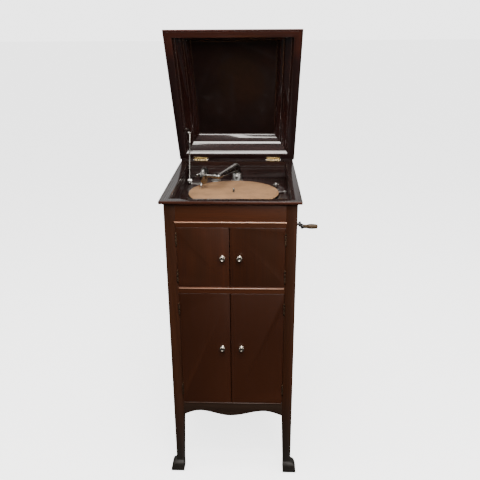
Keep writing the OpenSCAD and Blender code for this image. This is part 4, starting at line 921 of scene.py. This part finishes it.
def make_lights():
    """A long ceiling panel, which the mouldings mirror, and soft boxes."""
    for name, place, size, power, hue in LIGHTS:
        light = bpy.data.lights.new(name, "AREA")
        light.shape = "RECTANGLE"
        light.size, light.size_y = size
        light.energy = power
        light.color = hue
        lamp = bpy.data.objects.new(name, light)
        lamp.location = place
        lamp.visible_camera = False
        lamp.rotation_euler = (LIGHT_AIM - Vector(place)).to_track_quat("-Z", "Y").to_euler()
        bpy.context.scene.collection.objects.link(lamp)


def make_camera():
    """The photograph's camera."""
    data = bpy.data.cameras.new("Photo camera")
    data.lens = CAMERA_LENS
    data.sensor_width = SENSOR
    data.clip_end = FLOOR_SIZE
    camera = bpy.data.objects.new("Photo camera", data)
    camera.matrix_world = (
        Matrix.Translation(CAMERA_PLACE)
        @ Matrix.Rotation(CAMERA_YAW, 4, "Z")
        @ Matrix.Rotation(math.pi / 2 - CAMERA_PITCH, 4, "X")
        @ Matrix.Rotation(CAMERA_ROLL, 4, "Z"))
    bpy.context.scene.collection.objects.link(camera)
    bpy.context.scene.camera = camera


STEPS = (CABINET_OT_posts, CABINET_OT_panels, CABINET_OT_rim, CABINET_OT_front, CABINET_OT_doors,
         CABINET_OT_lid, CABINET_OT_horn, CABINET_OT_hinges, CABINET_OT_stay, CABINET_OT_turntable,
         CABINET_OT_sound, CABINET_OT_levers, CABINET_OT_motor, CABINET_OT_crank,
         CABINET_OT_screws, CABINET_OT_stage)


class CABINET_PT_panel(bpy.types.Panel):
    """Lists the steps that dress the cabinet"""
    bl_idname = "CABINET_PT_panel"
    bl_label = "Gramophone cabinet"
    bl_space_type = "VIEW_3D"
    bl_region_type = "UI"
    bl_category = "Cabinet"

    def draw(self, context):
        for step in STEPS:
            self.layout.operator(step.bl_idname)
        for group in (context.scene.cabinet_colours, context.scene.cabinet_sizes):
            for key in group.__annotations__:
                self.layout.prop(group, key)


CLASSES = (CabinetColours, CabinetSizes, *STEPS, CABINET_PT_panel)


def register():
    """Registers the classes and the scene's settings."""
    for item in CLASSES:
        bpy.utils.register_class(item)
    bpy.types.Scene.cabinet_colours = bpy.props.PointerProperty(type=CabinetColours)
    bpy.types.Scene.cabinet_sizes = bpy.props.PointerProperty(type=CabinetSizes)


def unregister():
    """Takes them out again."""
    del bpy.types.Scene.cabinet_sizes
    del bpy.types.Scene.cabinet_colours
    for item in reversed(CLASSES):
        bpy.utils.unregister_class(item)


def main():
    """Dresses the whole cabinet."""
    register()
    for step in STEPS:
        part, name = step.bl_idname.split(".")
        getattr(getattr(bpy.ops, part), name)()


if __name__ == "__main__":
    main()
